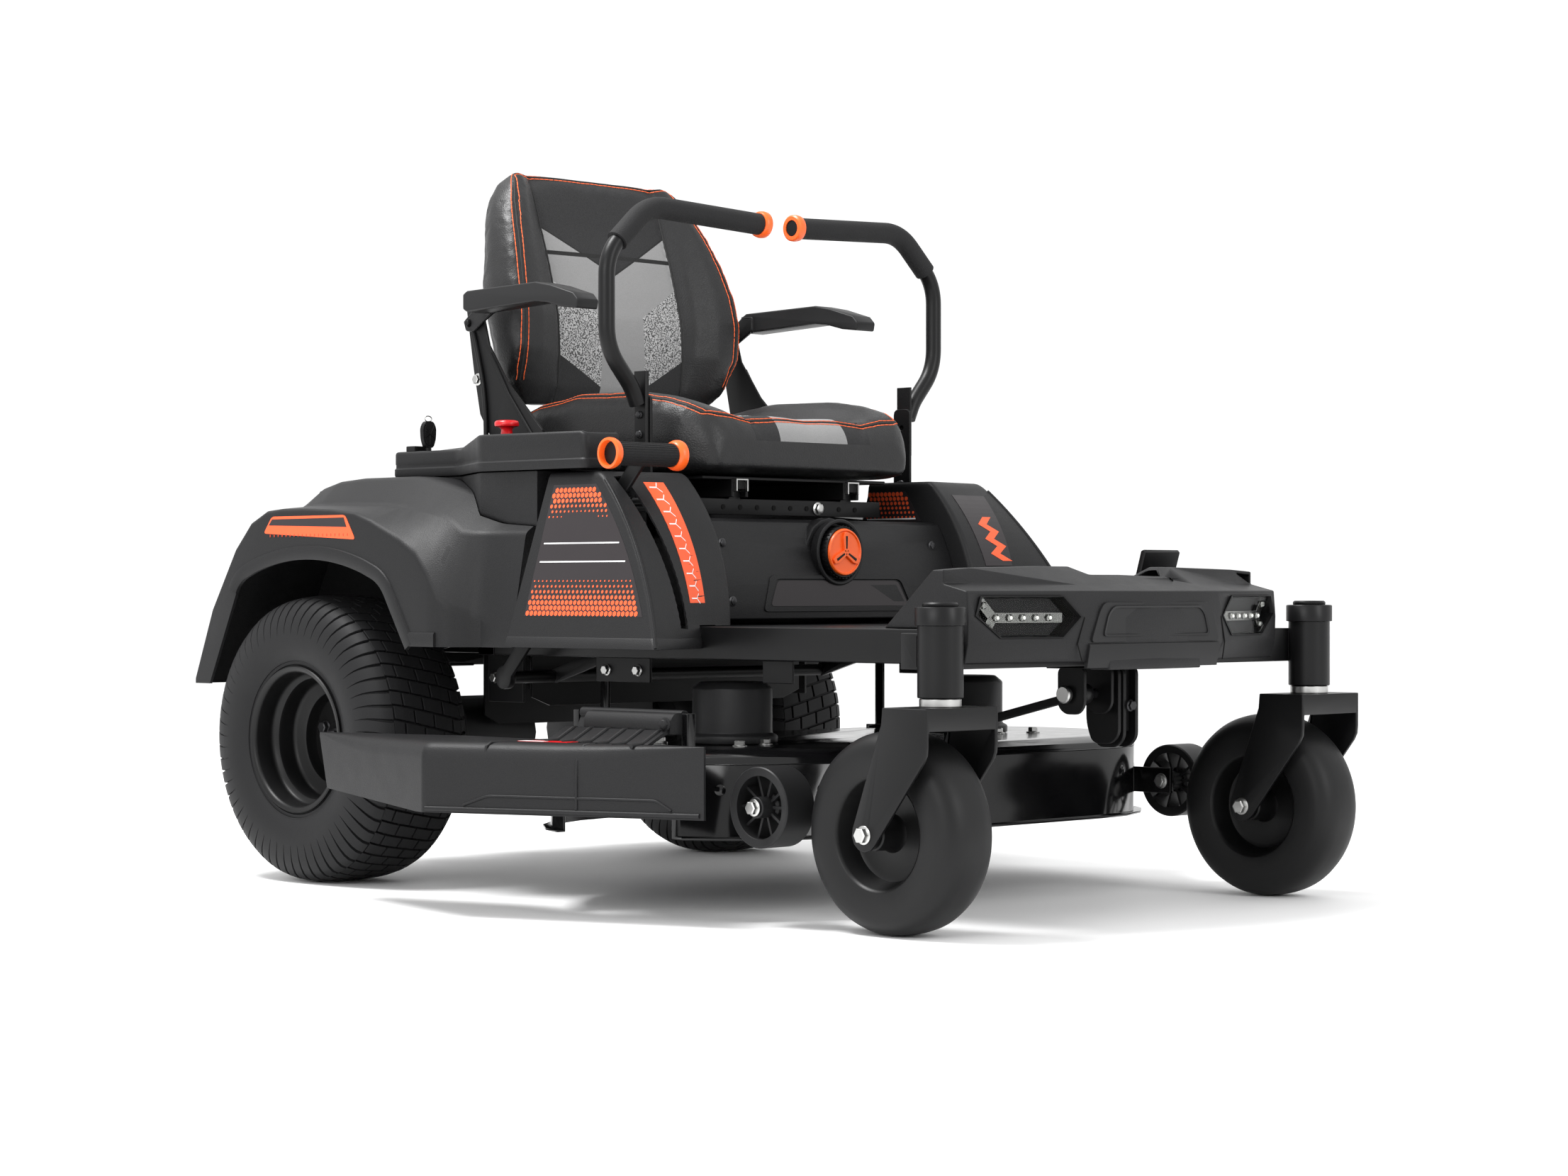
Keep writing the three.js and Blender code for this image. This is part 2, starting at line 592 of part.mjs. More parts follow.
function seatCushion() {
  const outline = [
    [168, 648], [628, 648], [648, 668], [656, 712], [640, 742], [588, 764],
    [487, 781], [354, 784], [262, 766], [180, 742], [164, 700],
  ];
  const body = sideView(outline, -249, 249);
  const plan = planView([
    [160, -225], [185, -240], [330, -249], [560, -249], [640, -232], [662, -190], [664, 0],
    [662, 190], [640, 232], [560, 249], [330, 249], [185, 240], [160, 225],
  ], 600, 800);
  return body.intersect(plan);
}

// Backrest cross-sections: height, rear, front, half width.
function seatBackrest() {
  const stations = [
    [766, 152, 192, 205], [800, 140, 212, 238], [860, 134, 238, 254], [916, 124, 241, 258],
    [967, 112, 230, 254], [1018, 102, 213, 243], [1068, 90, 191, 229], [1110, 80, 169, 214],
    [1145, 82, 149, 194], [1165, 98, 137, 168],
  ];
  return loft(stations.map(([z, rear, front, half]) => [
    [rear, -half + 26, z], [rear, half - 26, z], [rear + 18, half - 6, z], [front - 22, half, z],
    [front, half - 22, z], [front, -half + 22, z], [front - 22, -half, z], [rear + 18, -half + 6, z],
  ]));
}

function armrest() {
  const outline = [
    [193, 941], [203, 946], [369, 950], [406, 943], [458, 928], [469, 917],
    [466, 903], [432, 907], [396, 916], [369, 919], [203, 912], [193, 917],
  ];
  const lug = sideView([[220, 938], [193, 938], [144, 903], [150, 887], [166, 884], [220, 915]], 287, 293);
  const pivotHole = rod(5.4, 280, 300, 'y', [ARMREST_PIVOT[0], 0, ARMREST_PIVOT[1]], 16);
  return cut(join(sideView(outline, 290, 335), lug), pivotHole);
}

// ---- steering controls ----
function controlArm() {
  const hub = rod(15, 283, 299, 'y', [ARM_X, 0, ARM_PIVOT_Z], 24);
  const stalk = box(ARM_X - 12, ARM_X + 12, ARM_Y - 5, ARM_Y + 5, ARM_PIVOT_Z + 8, SWING_Z - 9);
  const bridge = box(ARM_X - 29, ARM_X + 29, ARM_Y - 6, ARM_Y + 6, SWING_Z - 15, SWING_Z - 9);
  const lugs = [-1, 1].map((s) => box(
    ARM_X + s * 26 - 3, ARM_X + s * 26 + 3, ARM_Y - 6, ARM_Y + 6, SWING_Z - 12, SWING_Z + 7,
  ));
  const pin = rod(3.5, ARM_X - 27, ARM_X + 27, 'x', [0, ARM_Y, SWING_Z], 12);
  const bore = rod(6.4, 270, 310, 'y', [ARM_X, 0, ARM_PIVOT_Z], 16);
  return cut(join(hub, stalk, bridge, ...lugs, pin), bore);
}

const BAR_PATH = [
  [ARM_X, 304, 752], [ARM_X, 316, 778], [ARM_X, 367, 836],
  [ARM_X, 367, 978], [ARM_X, 282, 1056], [ARM_X, 34, 1046],
];
const GRIP_PATH = [[ARM_X, 345.5, 997.7], [ARM_X, 282, 1056], [ARM_X, 34, 1046]];

function lapBar() {
  const barrel = rod(6.5, ARM_X - 21.5, ARM_X + 21.5, 'x', [0, ARM_Y, SWING_Z], 16);
  const strap = box(ARM_X - 18, ARM_X + 18, ARM_Y - 2.5, ARM_Y + 2.5, SWING_Z, 767);
  const holes = [675, 700, 725, 750].map((z) => rod(4, 280, 300, 'y', [ARM_X, 0, z], 8));
  const channel = box(ARM_X - 15, ARM_X + 15, ARM_Y + 2, ARM_Y + 8, 690, 803);
  const bar = tube(BAR_PATH, 30, 12.7, 14);
  const bore = rod(4, ARM_X - 30, ARM_X + 30, 'x', [0, ARM_Y, SWING_Z], 12);
  return cut(join(barrel, cut(strap, ...holes), channel, bar), bore);
}

function lapBarGrip() {
  const foam = tube(GRIP_PATH, 30, 18, 7);
  const ring = rod(21, 30, 44, 'y', [ARM_X, 0, 1046.2], 20);
  const core = tube(BAR_PATH, 30, 14.4, 14);
  const through = rod(13.3, 20, 60, 'y', [ARM_X, 0, 1046.2], 16);
  return cut(join(foam, ring), core, through);
}

// ---- deck height lever, cross shaft and lift arms ----
function leverBlade(grow) {
  const dx = LEVER_GRIP.x - LIFT_X;
  const dz = LEVER_GRIP.z - LIFT_Z;
  return box(0, Math.hypot(dx, dz) + grow, LEVER_Y - 3 - grow, LEVER_Y + 3 + grow, -12 - grow, 12 + grow)
    .rotate([0, -THREE.MathUtils.radToDeg(Math.atan2(dz, dx)), 0])
    .translate([LIFT_X, 0, LIFT_Z]);
}

function heightLever() {
  const blade = leverBlade(0);
  const boss = rod(18, LEVER_Y - 3, LEVER_Y + 9, 'y', [LIFT_X, 0, LIFT_Z], 20);
  const shaft = rod(9.5, LEVER_Y, 306, 'y', [LIFT_X, 0, LIFT_Z], 20);
  const spindle = rod(9, LEVER_Y - 60, LEVER_Y + 60, 'y', [LEVER_GRIP.x, 0, LEVER_GRIP.z], 16);
  const lift = box(0, LIFT_ARM + 10, 296, 303, -11, 11)
    .rotate([0, THREE.MathUtils.radToDeg(-LIFT_REST), 0])
    .translate([LIFT_X, 0, LIFT_Z]);
  return join(blade, boss, shaft, spindle, lift, mirrorY(lift));
}

function heightGrip() {
  const profile = [
    [9.6, -72], [23, -72], [23, -61], [17.5, -59], [17.5, 59], [23, 61], [23, 72], [9.6, 72], [9.6, -72],
  ];
  const body = lathe(profile, 'y', [LEVER_GRIP.x, LEVER_Y, LEVER_GRIP.z], 16);
  return cut(body, leverBlade(0.6));
}

// ---- mowing deck ----
function deckPlan(radius, z0, z1) {
  const outline = [
    ...arc([DECK_X, DECK_Y], radius, 0, 180, 12),
    ...arc([DECK_X, -DECK_Y], radius, 180, 360, 12),
  ];
  return planView(outline, z0, z1);
}

function deckShell() {
  const lip = deckPlan(DECK_R + DECK_LIP, DECK_Z0, DECK_Z0 + DECK_WALL);
  const skin = join(deckPlan(DECK_R, DECK_Z0, 222), crownRim(), lip);
  const hollow = join(
    deckPlan(DECK_R - DECK_WALL, DECK_Z0 - 10, 220),
    deckPlan(DECK_R - DECK_WALL - 10, 215, DECK_Z1 - 7),
  );
  const shaftHole = rod(22, 200, 260, 'z', [DECK_X, DECK_Y, 0]);
  const gaugeWay = rod(GAUGE_R + 4, GAUGE_Y - 34, GAUGE_Y + 34, 'y', [GAUGE_X, 0, GAUGE_Z], 20);
  const exit = box(640, 880, -560, -500, DECK_Z0 - 20, 215);
  const bracket = join(
    box(930, GAUGE_X + 18, 412, 419, 148, 188),
    rod(6, 412, GAUGE_Y + 38, 'y', [GAUGE_X, 0, GAUGE_Z], 16),
  );
  const linkX = LIFT_X + LIFT_ARM * Math.cos(LIFT_REST);
  const link = join(
    box(linkX - 9, linkX + 9, 306, 311, DECK_Z1 - 6, 384),
    box(linkX - 24, linkX + 24, 300, 318, DECK_Z1 - 8, DECK_Z1 + 5),
  );
  const ears = [-13, 9].map((y) => box(936, 1002, y, y + 4, DECK_Z1 - 16, HANGER_END[1] + 14));
  const hinge = chuteHinge();
  const base = cut(skin, hollow, shaftHole, mirrorY(shaftHole), gaugeWay, mirrorY(gaugeWay), exit);
  return join(base, bracket, mirrorY(bracket), link, mirrorY(link), ...ears, hinge);
}

function crownRim() {
  const level = (radius, z) => [
    ...arc([DECK_X, DECK_Y], radius, 0, 180, 12),
    ...arc([DECK_X, -DECK_Y], radius, 180, 360, 12),
  ].map(([x, y]) => [x, y, z]);
  return loft([level(DECK_R, 221), level(DECK_R - 6, 232), level(DECK_R - 22, DECK_Z1)]);
}

const CHUTE_AXIS = { y: -500, z: 291 };
const CHUTE_FOLDS = [660, 890];

// Two posts on the deck carry the pin that the chute turns on.
function chuteHinge() {
  const { y, z } = CHUTE_AXIS;
  const posts = CHUTE_FOLDS.map((x) => box(x - 6, x + 6, y - 8, y + 8, 226, z + 4));
  const pin = rod(4, CHUTE_FOLDS[0] - 4, CHUTE_FOLDS[1] + 4, 'x', [0, y, z], 12);
  return join(...posts, pin);
}

function dischargeChute() {
  const topZ = 252;
  const { y, z } = CHUTE_AXIS;
  const plan = [[983, -550], [562, -715], [214, -634], [470, -552], [640, -550], [910, -550]];
  const cover = planView(plan, topZ - 4, topZ);
  const skirt = planView([[983, -550], [562, -715], [564, -709], [984, -544]], 150, topZ);
  const ramp = frontView([[-548, topZ - 4], [-554, topZ], [y - 6, z + 4], [y - 2, z]], 672, 878);
  const knuckle = rod(8, 668, 882, 'x', [0, y, z], 16);
  const bore = rod(4.4, 600, 950, 'x', [0, y, z], 12);
  const front = planView([[983, -550], [990, -550], [985, -544], [975, -545]], 150, topZ);
  return cut(join(cover, skirt, ramp, knuckle, front), bore);
}

function deckMotor() {
  const profile = [
    [0, 164], [11, 164], [11, DECK_Z1 + GAP], [68, DECK_Z1 + GAP], [68, 252],
    [60, 256], [60, 322], [48, 332], [0, 332],
  ];
  return lathe(profile, 'z', [DECK_X, DECK_Y, 0], 16);
}

function blade() {
  const half = BLADE_LENGTH / 2;
  const bar = planView([
    [-half, -14], [-half + 10, -28], [-120, -28], [120, -28], [half, -28],
    [half, 14], [half - 10, 28], [120, 28], [-120, 28], [-half, 28],
  ], 134, 139);
  const hub = rod(27, 130, 163, 'z', [0, 0, 0], 12);
  return join(bar, hub).translate([DECK_X, DECK_Y, 0]);
}

function gaugeWheel() {
  const half = [[6.6, 33], [15, 33], [15, 8], [45, 8], [GAUGE_R, 28]];
  const down = half.map(([r, h]) => [r, -h]);
  return lathe([...half, ...down.reverse(), half[0]], 'y', [GAUGE_X, GAUGE_Y, GAUGE_Z], 16);
}

// ---- hanger under the front beam, its rod to the deck, and the brake pedal ----
const HANGER_PIN = [1196, 0, 318];
const HANGER_END = [960, 262];

function frontHanger() {
  const top = box(1176, BEAM_X1, -60, 102, 355, BEAM_Z0 - GAP);
  const ears = [-34, 28].map((y) => box(1176, 1226, y, y + 6, 290, 358));
  const pin = rod(7, -40, 40, 'y', [HANGER_PIN[0], 0, HANGER_PIN[2]], 16);
  const housing = box(1160, 1222, 46, 98, 238, 357);
  return join(top, ...ears, pin, housing);
}

function hangerRod() {
  const dx = HANGER_END[0] - HANGER_PIN[0];
  const dz = HANGER_END[1] - HANGER_PIN[2];
  const reach = Math.hypot(dx, dz);
  const turn = THREE.MathUtils.radToDeg(Math.atan2(dz, -dx));
  const bar = box(-reach, 0, -6, 6, -6, 6).rotate([0, turn, 0]).translate(HANGER_PIN);
  const eye = rod(15, -9, 9, 'y', [HANGER_PIN[0], 0, HANGER_PIN[2]], 16);
  const tailEye = rod(14, -8, 8, 'y', [HANGER_END[0], 0, HANGER_END[1]], 16);
  return cut(join(bar, eye, tailEye), rod(7.6, -30, 30, 'y', [HANGER_PIN[0], 0, HANGER_PIN[2]]));
}

function brakePedal() {
  const pad = sideView([[1138, 452], [1146, 448], [1170, 526], [1166, 530], [1160, 528]], 180, 263);
  const armSide = [[1142, 456], [1150, 448], [1178, 428], [1190, 430], [1188, 444], [1152, 480]];
  return join(pad, sideView(armSide, 214, 230));
}

// ---- switches on the console ----
function stopButton() {
  const [x, y, z] = STOP_AT;
  return lathe([
    [0, -22], [8.6, -22], [8.6, 15], [19, 17], [19, 23], [15, 27], [0, 28],
  ], 'z', [x, y, z], 20);
}

function ignitionKey() {
  const [x, y, z] = KEY_AT;
  const shank = rod(4.5, -16, 8, 'z', [x, y, z], 12);
  const outline = [[-8, 6], [8, 6], [13, 20], [14, 38], [8, 49], [-8, 49], [-14, 38], [-13, 20]];
  const fob = frontView(outline, -5, 5).translate([x, y, z]);
  return join(shank, fob);
}

// ---- assembly ----
add('rear_frame', rearFrame(), FRAME_BLACK);
add('front_beam', frontBeam(), FRAME_BLACK);
add('floor_pan', floorPan(), FRAME_BLACK);
add('front_cowl', frontCowl(), GRAINED);
add('console_bin', consoleBin(), GRAINED);
add('console_panel', consolePanel(), GRAINED);
add('seat_base_cover', seatBaseCover(), GRAINED);
add('seat_support', seatSupport(), FRAME_BLACK);
add('battery_pack', batteryPack(), RIM_BLACK);
add('rear_cover', rearCover(), GRAINED);
add('front_hanger', frontHanger(), FRAME_BLACK);
add('hanger_rod', hangerRod(), FRAME_BLACK);
add('deck_shell', deckShell(), DECK_BLACK);
add('discharge_chute', dischargeChute(), GRAINED);
add('height_lever', heightLever(), FRAME_BLACK);
add('height_lever_grip', heightGrip(), FOAM);
add('seat_platform', seatPlatform(), FRAME_BLACK);
add('seat_pan', seatPan(), FRAME_BLACK);
add('seat_cushion', seatCushion(), LEATHER);
add('seat_backrest', seatBackrest(), LEATHER);
add('suspension_dial', suspensionDial(), ORANGE);
add('stop_button', stopButton(), RED);
add('ignition_key', ignitionKey(), RIM_BLACK);
add('brake_pedal', brakePedal(), FRAME_BLACK);

for (const [word, side] of SIDES) {
  const rightFender = () => cut(mirrorY(fender()), binShape(1.2), binShape(1.2).translate([0, -2, 0]));
  add(`fender_${word}`, side > 0 ? fender() : rightFender(), GRAINED);
  add(`control_pod_${word}`, onSide(pod(side), side), GRAINED);
  add(`frame_rail_${word}`, onSide(frameRail(), side), FRAME_BLACK);
  add(`headlight_${word}`, onSide(headlight(), side), CLEAR);
  add(`caster_cap_${word}`, onSide(casterCap(), side), RIM_BLACK);
  add(`drive_motor_${word}`, onSide(driveMotor(), side), STEEL);
  add(`rear_tyre_${word}`, onSide(rearTyre(), side), TYRE);
  add(`rear_rim_${word}`, onSide(rearRim(), side), RIM_BLACK);
  add(`caster_fork_${word}`, onSide(casterFork(), side), FRAME_BLACK);
  add(`caster_tyre_${word}`, onSide(casterTyre(), side), TYRE);
  add(`caster_hub_${word}`, onSide(casterHub(), side), RIM_BLACK);
  add(`control_arm_${word}`, onSide(controlArm(), side), STEEL);
  add(`lap_bar_${word}`, onSide(lapBar(), side), FRAME_BLACK);
  add(`lap_bar_grip_${word}`, onSide(lapBarGrip(), side), FOAM);
  add(`deck_motor_${word}`, onSide(deckMotor(), side), STEEL);
  add(`blade_${word}`, onSide(blade(), side), STEEL);
  add(`gauge_wheel_${word}`, onSide(gaugeWheel(), side), RIM_BLACK);
  add(`armrest_${word}`, onSide(armrest(), side), GRAINED);
}

const extent = new THREE.Box3().setFromObject(mower);
const centre = extent.getCenter(new THREE.Vector3());
mower.position.set(-centre.x, -centre.y, 0);
mower.updateMatrixWorld(true);

export default mower;
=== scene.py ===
"""Looks of a battery zero turn mower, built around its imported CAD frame.

Shapes are drawn in millimetres from the ground point under the rear axle, +X forward, +Y to the
operator's left, and at() turns them into the frame's metres.
"""
import json
import math

import bmesh
import bpy
from mathutils import Matrix, Vector
from mathutils.bvhtree import BVHTree

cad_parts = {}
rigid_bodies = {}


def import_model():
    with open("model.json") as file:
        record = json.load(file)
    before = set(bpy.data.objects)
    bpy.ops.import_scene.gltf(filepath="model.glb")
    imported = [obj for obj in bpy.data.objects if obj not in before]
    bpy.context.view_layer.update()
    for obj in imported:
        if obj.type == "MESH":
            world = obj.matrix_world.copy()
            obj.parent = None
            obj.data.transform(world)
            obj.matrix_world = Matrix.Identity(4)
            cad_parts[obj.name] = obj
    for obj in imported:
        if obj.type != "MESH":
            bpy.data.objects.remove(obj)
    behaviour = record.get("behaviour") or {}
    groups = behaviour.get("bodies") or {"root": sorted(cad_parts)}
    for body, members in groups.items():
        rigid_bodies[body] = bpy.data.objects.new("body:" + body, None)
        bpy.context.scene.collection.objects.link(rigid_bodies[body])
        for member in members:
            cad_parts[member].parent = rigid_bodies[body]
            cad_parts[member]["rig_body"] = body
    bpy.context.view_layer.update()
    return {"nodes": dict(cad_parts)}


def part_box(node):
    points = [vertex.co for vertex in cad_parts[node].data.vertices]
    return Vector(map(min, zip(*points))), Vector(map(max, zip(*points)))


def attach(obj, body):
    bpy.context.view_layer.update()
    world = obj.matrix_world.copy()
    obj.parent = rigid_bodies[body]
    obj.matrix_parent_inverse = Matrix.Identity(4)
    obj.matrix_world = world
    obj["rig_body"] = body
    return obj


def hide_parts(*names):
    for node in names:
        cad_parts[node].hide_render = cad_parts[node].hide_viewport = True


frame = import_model()
NODES = frame["nodes"]

WHEEL_L, WHEEL_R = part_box("rear_tyre_left"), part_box("rear_tyre_right")
ORIGIN = Vector((
    (WHEEL_L[0].x + WHEEL_L[1].x) / 2,
    (WHEEL_L[0].y + WHEEL_L[1].y + WHEEL_R[0].y + WHEEL_R[1].y) / 4,
    0,
))
MM = 0.001
SIDES = (("left", 1), ("right", -1))

CAMERA_PLACE = (4274.4, -3721.3, 472.1)
CAMERA_TURN = 44.76
CAMERA_LENS = 75.9
SENSOR = 36
FLOOR_HALF = 30
WORLD_STRENGTH = 1.08
# Lamps: name, place and aim in metres, size and power.
LAMPS = (
    ("key", (-1.2, -1.6, 4.6), (0, 0, 0.5), (1.5, 1.5), 300),
    ("side", (1.2, -4.6, 2.2), (0, 0, 0.5), (2.6, 1.4), 70),
    ("front", (4.6, 0.4, 2.4), (0.3, 0, 0.4), (1.2, 2.6), 70),
)


def at(x, y, z):
    """A point in millimetres as a place in the frame."""
    return ORIGIN + Vector((x, y, z)) * MM


# ---------------------------------------------------------------- camera, light and floor
def place_new(name, data):
    made = bpy.data.objects.new(name, data)
    bpy.context.scene.collection.objects.link(made)
    return made


def studio():
    """The camera at the photographed angle, soft area lamps and a plain pale floor."""
    camera = bpy.data.cameras.new("camera")
    camera.lens = CAMERA_LENS
    camera.sensor_width = SENSOR
    camera.clip_end = 2 * FLOOR_HALF
    view = place_new("camera", camera)
    view.location = at(*CAMERA_PLACE)
    view.rotation_euler = (math.radians(90), 0, math.radians(CAMERA_TURN))
    bpy.context.scene.camera = view

    world = bpy.data.worlds.new("studio")
    bpy.context.scene.world = world
    world.use_nodes = True
    back = world.node_tree.nodes["Background"]
    back.inputs["Color"].default_value = (1, 1, 1, 1)
    back.inputs["Strength"].default_value = WORLD_STRENGTH

    for name, place, aim, size, power in LAMPS:
        light = bpy.data.lights.new(name, "AREA")
        light.shape = "RECTANGLE"
        light.size, light.size_y = size
        light.energy = power
        lamp = place_new(name, light)
        lamp.location = place
        lamp.rotation_mode = "QUATERNION"
        lamp.rotation_quaternion = (Vector(aim) - Vector(place)).to_track_quat("-Z", "Y")

    mesh = bpy.data.meshes.new("floor")
    corners = ((-1, -1), (1, -1), (1, 1), (-1, 1))
    mesh.from_pydata([(FLOOR_HALF * x, FLOOR_HALF * y, 0) for x, y in corners], [], [(0, 1, 2, 3)])
    floor = place_new("floor", mesh)
    mesh.materials.append(surface("studio_floor", (0.93, 0.93, 0.93), 0.6, vary=0.0, bump=0))
    scene = bpy.context.scene
    scene.view_settings.view_transform = "Standard"
    scene.view_settings.look = "None"


# ---------------------------------------------------------------- materials
class Graph:
    """A small helper round one material's node tree."""

    def __init__(self, name):
        self.material = bpy.data.materials.new(name)
        self.material.use_nodes = True
        self.tree = self.material.node_tree
        self.shader = self.tree.nodes["Principled BSDF"]
        self.place = self.node("ShaderNodeTexCoord").outputs["Object"]

    def node(self, kind, **settings):
        made = self.tree.nodes.new(kind)
        for key, value in settings.items():
            setattr(made, key, value)
        return made

    def link(self, source, target):
        self.tree.links.new(source, target)

    def math(self, operation, a, b=None, c=None, clamp=False):
        made = self.node("ShaderNodeMath", operation=operation, use_clamp=clamp)
        for slot, value in enumerate((a, b, c)):
            if value is None:
                continue
            if isinstance(value, (int, float)):
                made.inputs[slot].default_value = value
            else:
                self.link(value, made.inputs[slot])
        return made.outputs[0]

    def mix(self, factor, a, b):
        made = self.node("ShaderNodeMix", data_type="RGBA")
        for slot, value in ((0, factor), (6, a), (7, b)):
            if isinstance(value, (int, float)):
                made.inputs[slot].default_value = value
            elif isinstance(value, tuple):
                made.inputs[slot].default_value = (*value[:3], 1)
            else:
                self.link(value, made.inputs[slot])
        return made.outputs[2]

    def noise(self, scale, detail=2, rough=0.5):
        made = self.node("ShaderNodeTexNoise")
        made.inputs["Scale"].default_value = scale
        made.inputs["Detail"].default_value = detail
        made.inputs["Roughness"].default_value = rough
        self.link(self.place, made.inputs["Vector"])
        return made.outputs["Fac"]

    def cells(self, scale, feature="F1"):
        made = self.node("ShaderNodeTexVoronoi", feature=feature)
        made.inputs["Scale"].default_value = scale
        self.link(self.place, made.inputs["Vector"])
        return made.outputs["Distance"]

    def axes(self):
        parts = self.node("ShaderNodeSeparateXYZ")
        self.link(self.place, parts.inputs[0])
        return parts.outputs

    def bump(self, height, strength, distance):
        made = self.node("ShaderNodeBump")
        made.inputs["Strength"].default_value = strength
        made.inputs["Distance"].default_value = distance
        self.link(height, made.inputs["Height"])
        self.link(made.outputs["Normal"], self.shader.inputs["Normal"])

    def set(self, **values):
        for key, value in values.items():
            slot = self.shader.inputs[key.replace("_", " ")]
            if isinstance(value, (int, float)):
                slot.default_value = value
            elif isinstance(value, tuple):
                slot.default_value = (*value[:3], 1)
            else:
                self.link(value, slot)


def scaled(colour, factor):
    return tuple(min(1.0, c * factor) for c in colour[:3])


DRIFT_SCALE = 7
GLOSS_SPREAD = 0.06


def surface(name, colour, rough, metal=0.0, vary=0.12, bump=0.35, grain=650, depth=0.0002, kind="noise",
            specular=0.5, painted_glints=0.0):
    """A moulded, painted or coated surface: slow colour drift, fine grain, uneven gloss and, where set,
    lighter flecks of painted glint.
    """
    g = Graph(name)
    drift = g.noise(DRIFT_SCALE, 4, 0.6)
    tone = g.mix(drift, scaled(colour, 1 - vary), scaled(colour, 1 + vary))
    # Painted glints: lighter flecks mixed into the base colour, standing for the grain's sparkle in the
    # light.
    if painted_glints:
        fine = g.noise(grain * 1.3, 1, 0.5)
        lift = g.math("MULTIPLY", g.math("SUBTRACT", fine, 0.5), painted_glints * 2)
        tone = g.mix(g.math("ADD", lift, 0.15, clamp=True), tone, scaled(colour, 2.2))
    g.set(Base_Color=tone, Metallic=metal)
    uneven = g.noise(DRIFT_SCALE * 4, 3, 0.6)
    g.set(Roughness=g.math("MULTIPLY_ADD", uneven, GLOSS_SPREAD * 2, rough - GLOSS_SPREAD, clamp=True))
    g.shader.inputs["Specular IOR Level"].default_value = specular
    if bump:
        height = g.cells(grain) if kind == "cells" else g.noise(grain, 2, 0.6)
        g.bump(height, bump, depth)
    return g.material


BLACK_STEEL = surface("black_steel", (0.004, 0.004, 0.0043), 0.38,
                      bump=0.12, grain=420, depth=0.0001, specular=0.22)
SATIN_STEEL = surface("satin_steel", (0.0045, 0.0045, 0.0048), 0.42,
                      bump=0.15, grain=500, depth=0.0001, specular=0.2)
DECK_PAINT = surface("deck_paint", (0.003, 0.003, 0.0033), 0.14,
                     bump=0.05, grain=120, depth=0.0002, specular=0.35)
GRAINED = surface("grained_plastic", (0.0085, 0.0085, 0.009), 0.46,
                  bump=0.65, grain=620, depth=0.0005, painted_glints=0.4, specular=0.2)
SMOOTH_PLASTIC = surface("smooth_plastic", (0.011, 0.011, 0.0115), 0.45,
                         bump=0.2, grain=900, depth=0.0001, specular=0.22)
DARK_PLASTIC = surface("dark_plastic", (0.004, 0.004, 0.0043), 0.42,
                       bump=0.2, grain=700, depth=0.0001, specular=0.2)
ORANGE = surface("orange_plastic", (0.86, 0.115, 0.012), 0.35,
                 vary=0.06, bump=0.1, grain=500, depth=0.0001)
RED = surface("red_plastic", (0.62, 0.004, 0.008), 0.28, vary=0.06, bump=0.05, grain=300, depth=0.0001)
ZINC = surface("zinc_plate", (0.5, 0.5, 0.49), 0.3,
               metal=1.0, vary=0.08, bump=0.12, grain=700, depth=0.00008)
LAMP_GREY = surface("lamp_reflector", (0.22, 0.22, 0.21), 0.16,
                    metal=1.0, vary=0.15, bump=0.1, grain=260, depth=0.0001)
DARK_ZINC = surface("dark_zinc", (0.03, 0.03, 0.032), 0.35,
                    metal=0.6, vary=0.1, bump=0.12, grain=700, depth=0.00008)
MOTOR = surface("motor_casting", (0.02, 0.02, 0.021), 0.5,
                metal=0.3, bump=0.4, grain=350, depth=0.0003, specular=0.3)
TYRE = surface("tyre_rubber", (0.0075, 0.0075, 0.008), 0.6,
               bump=0.35, grain=380, depth=0.0003, painted_glints=0.12, specular=0.2)
CASTER_RUBBER = surface("caster_rubber", (0.006, 0.006, 0.0063), 0.48,
                        bump=0.3, grain=450, depth=0.0002, specular=0.22)
RIM = surface("rim_paint", (0.003, 0.003, 0.0032), 0.42,
              bump=0.1, grain=260, depth=0.0001, specular=0.25)
FOAM = surface("foam", (0.01, 0.01, 0.0105), 0.75,
               bump=0.7, grain=520, depth=0.0005, kind="cells", painted_glints=0.2, specular=0.25)
WHITE = surface("white_print", (0.75, 0.75, 0.75), 0.4, vary=0.04, bump=0.05, grain=500, depth=0.00005)
DECAL = surface("dark_decal", (0.019, 0.0155, 0.017), 0.35,
                vary=0.08, bump=0.04, grain=300, depth=0.00005, specular=0.3)
PRINT = surface("orange_print", (0.78, 0.1, 0.03), 0.4,
                vary=0.06, bump=0.04, grain=300, depth=0.00005, specular=0.3)
RUST = surface("deep_orange_print", (0.5, 0.05, 0.02), 0.4,
               vary=0.06, bump=0.04, grain=300, depth=0.00005, specular=0.3)
# Near black for painted shade in the rims' hub openings, the cowl's seam gaps and the suspension plate's
# holes; also the valves' own black.
SHADE_AND_VALVE_BLACK = surface("painted_shade_and_valve_black", (0.002, 0.002, 0.002), 0.7,
                     vary=0.2, bump=0.2, grain=300, depth=0.0002, specular=0.15)
THREAD = surface("orange_thread", (0.85, 0.13, 0.03), 0.6, vary=0.1, bump=0.5, grain=1200, depth=0.0002)
DARK_THREAD = surface("dark_thread", (0.006, 0.006, 0.006), 0.7,
                      vary=0.1, bump=0.5, grain=1200, depth=0.0002)
BLADE_STEEL = surface("blade_steel", (0.4, 0.4, 0.41), 0.35,
                      metal=1.0, bump=0.2, grain=400, depth=0.0001)


def lens_material():
    """Thin clear cover of a lamp, with a faint unevenness in its gloss."""
    g = Graph("clear_lens")
    gloss = g.math("MULTIPLY_ADD", g.noise(40), 0.03, 0.01)
    g.set(Base_Color=(0.97, 0.98, 0.98), Roughness=gloss, Transmission_Weight=1.0)
    g.shader.inputs["IOR"].default_value = 1.1
    return g.material


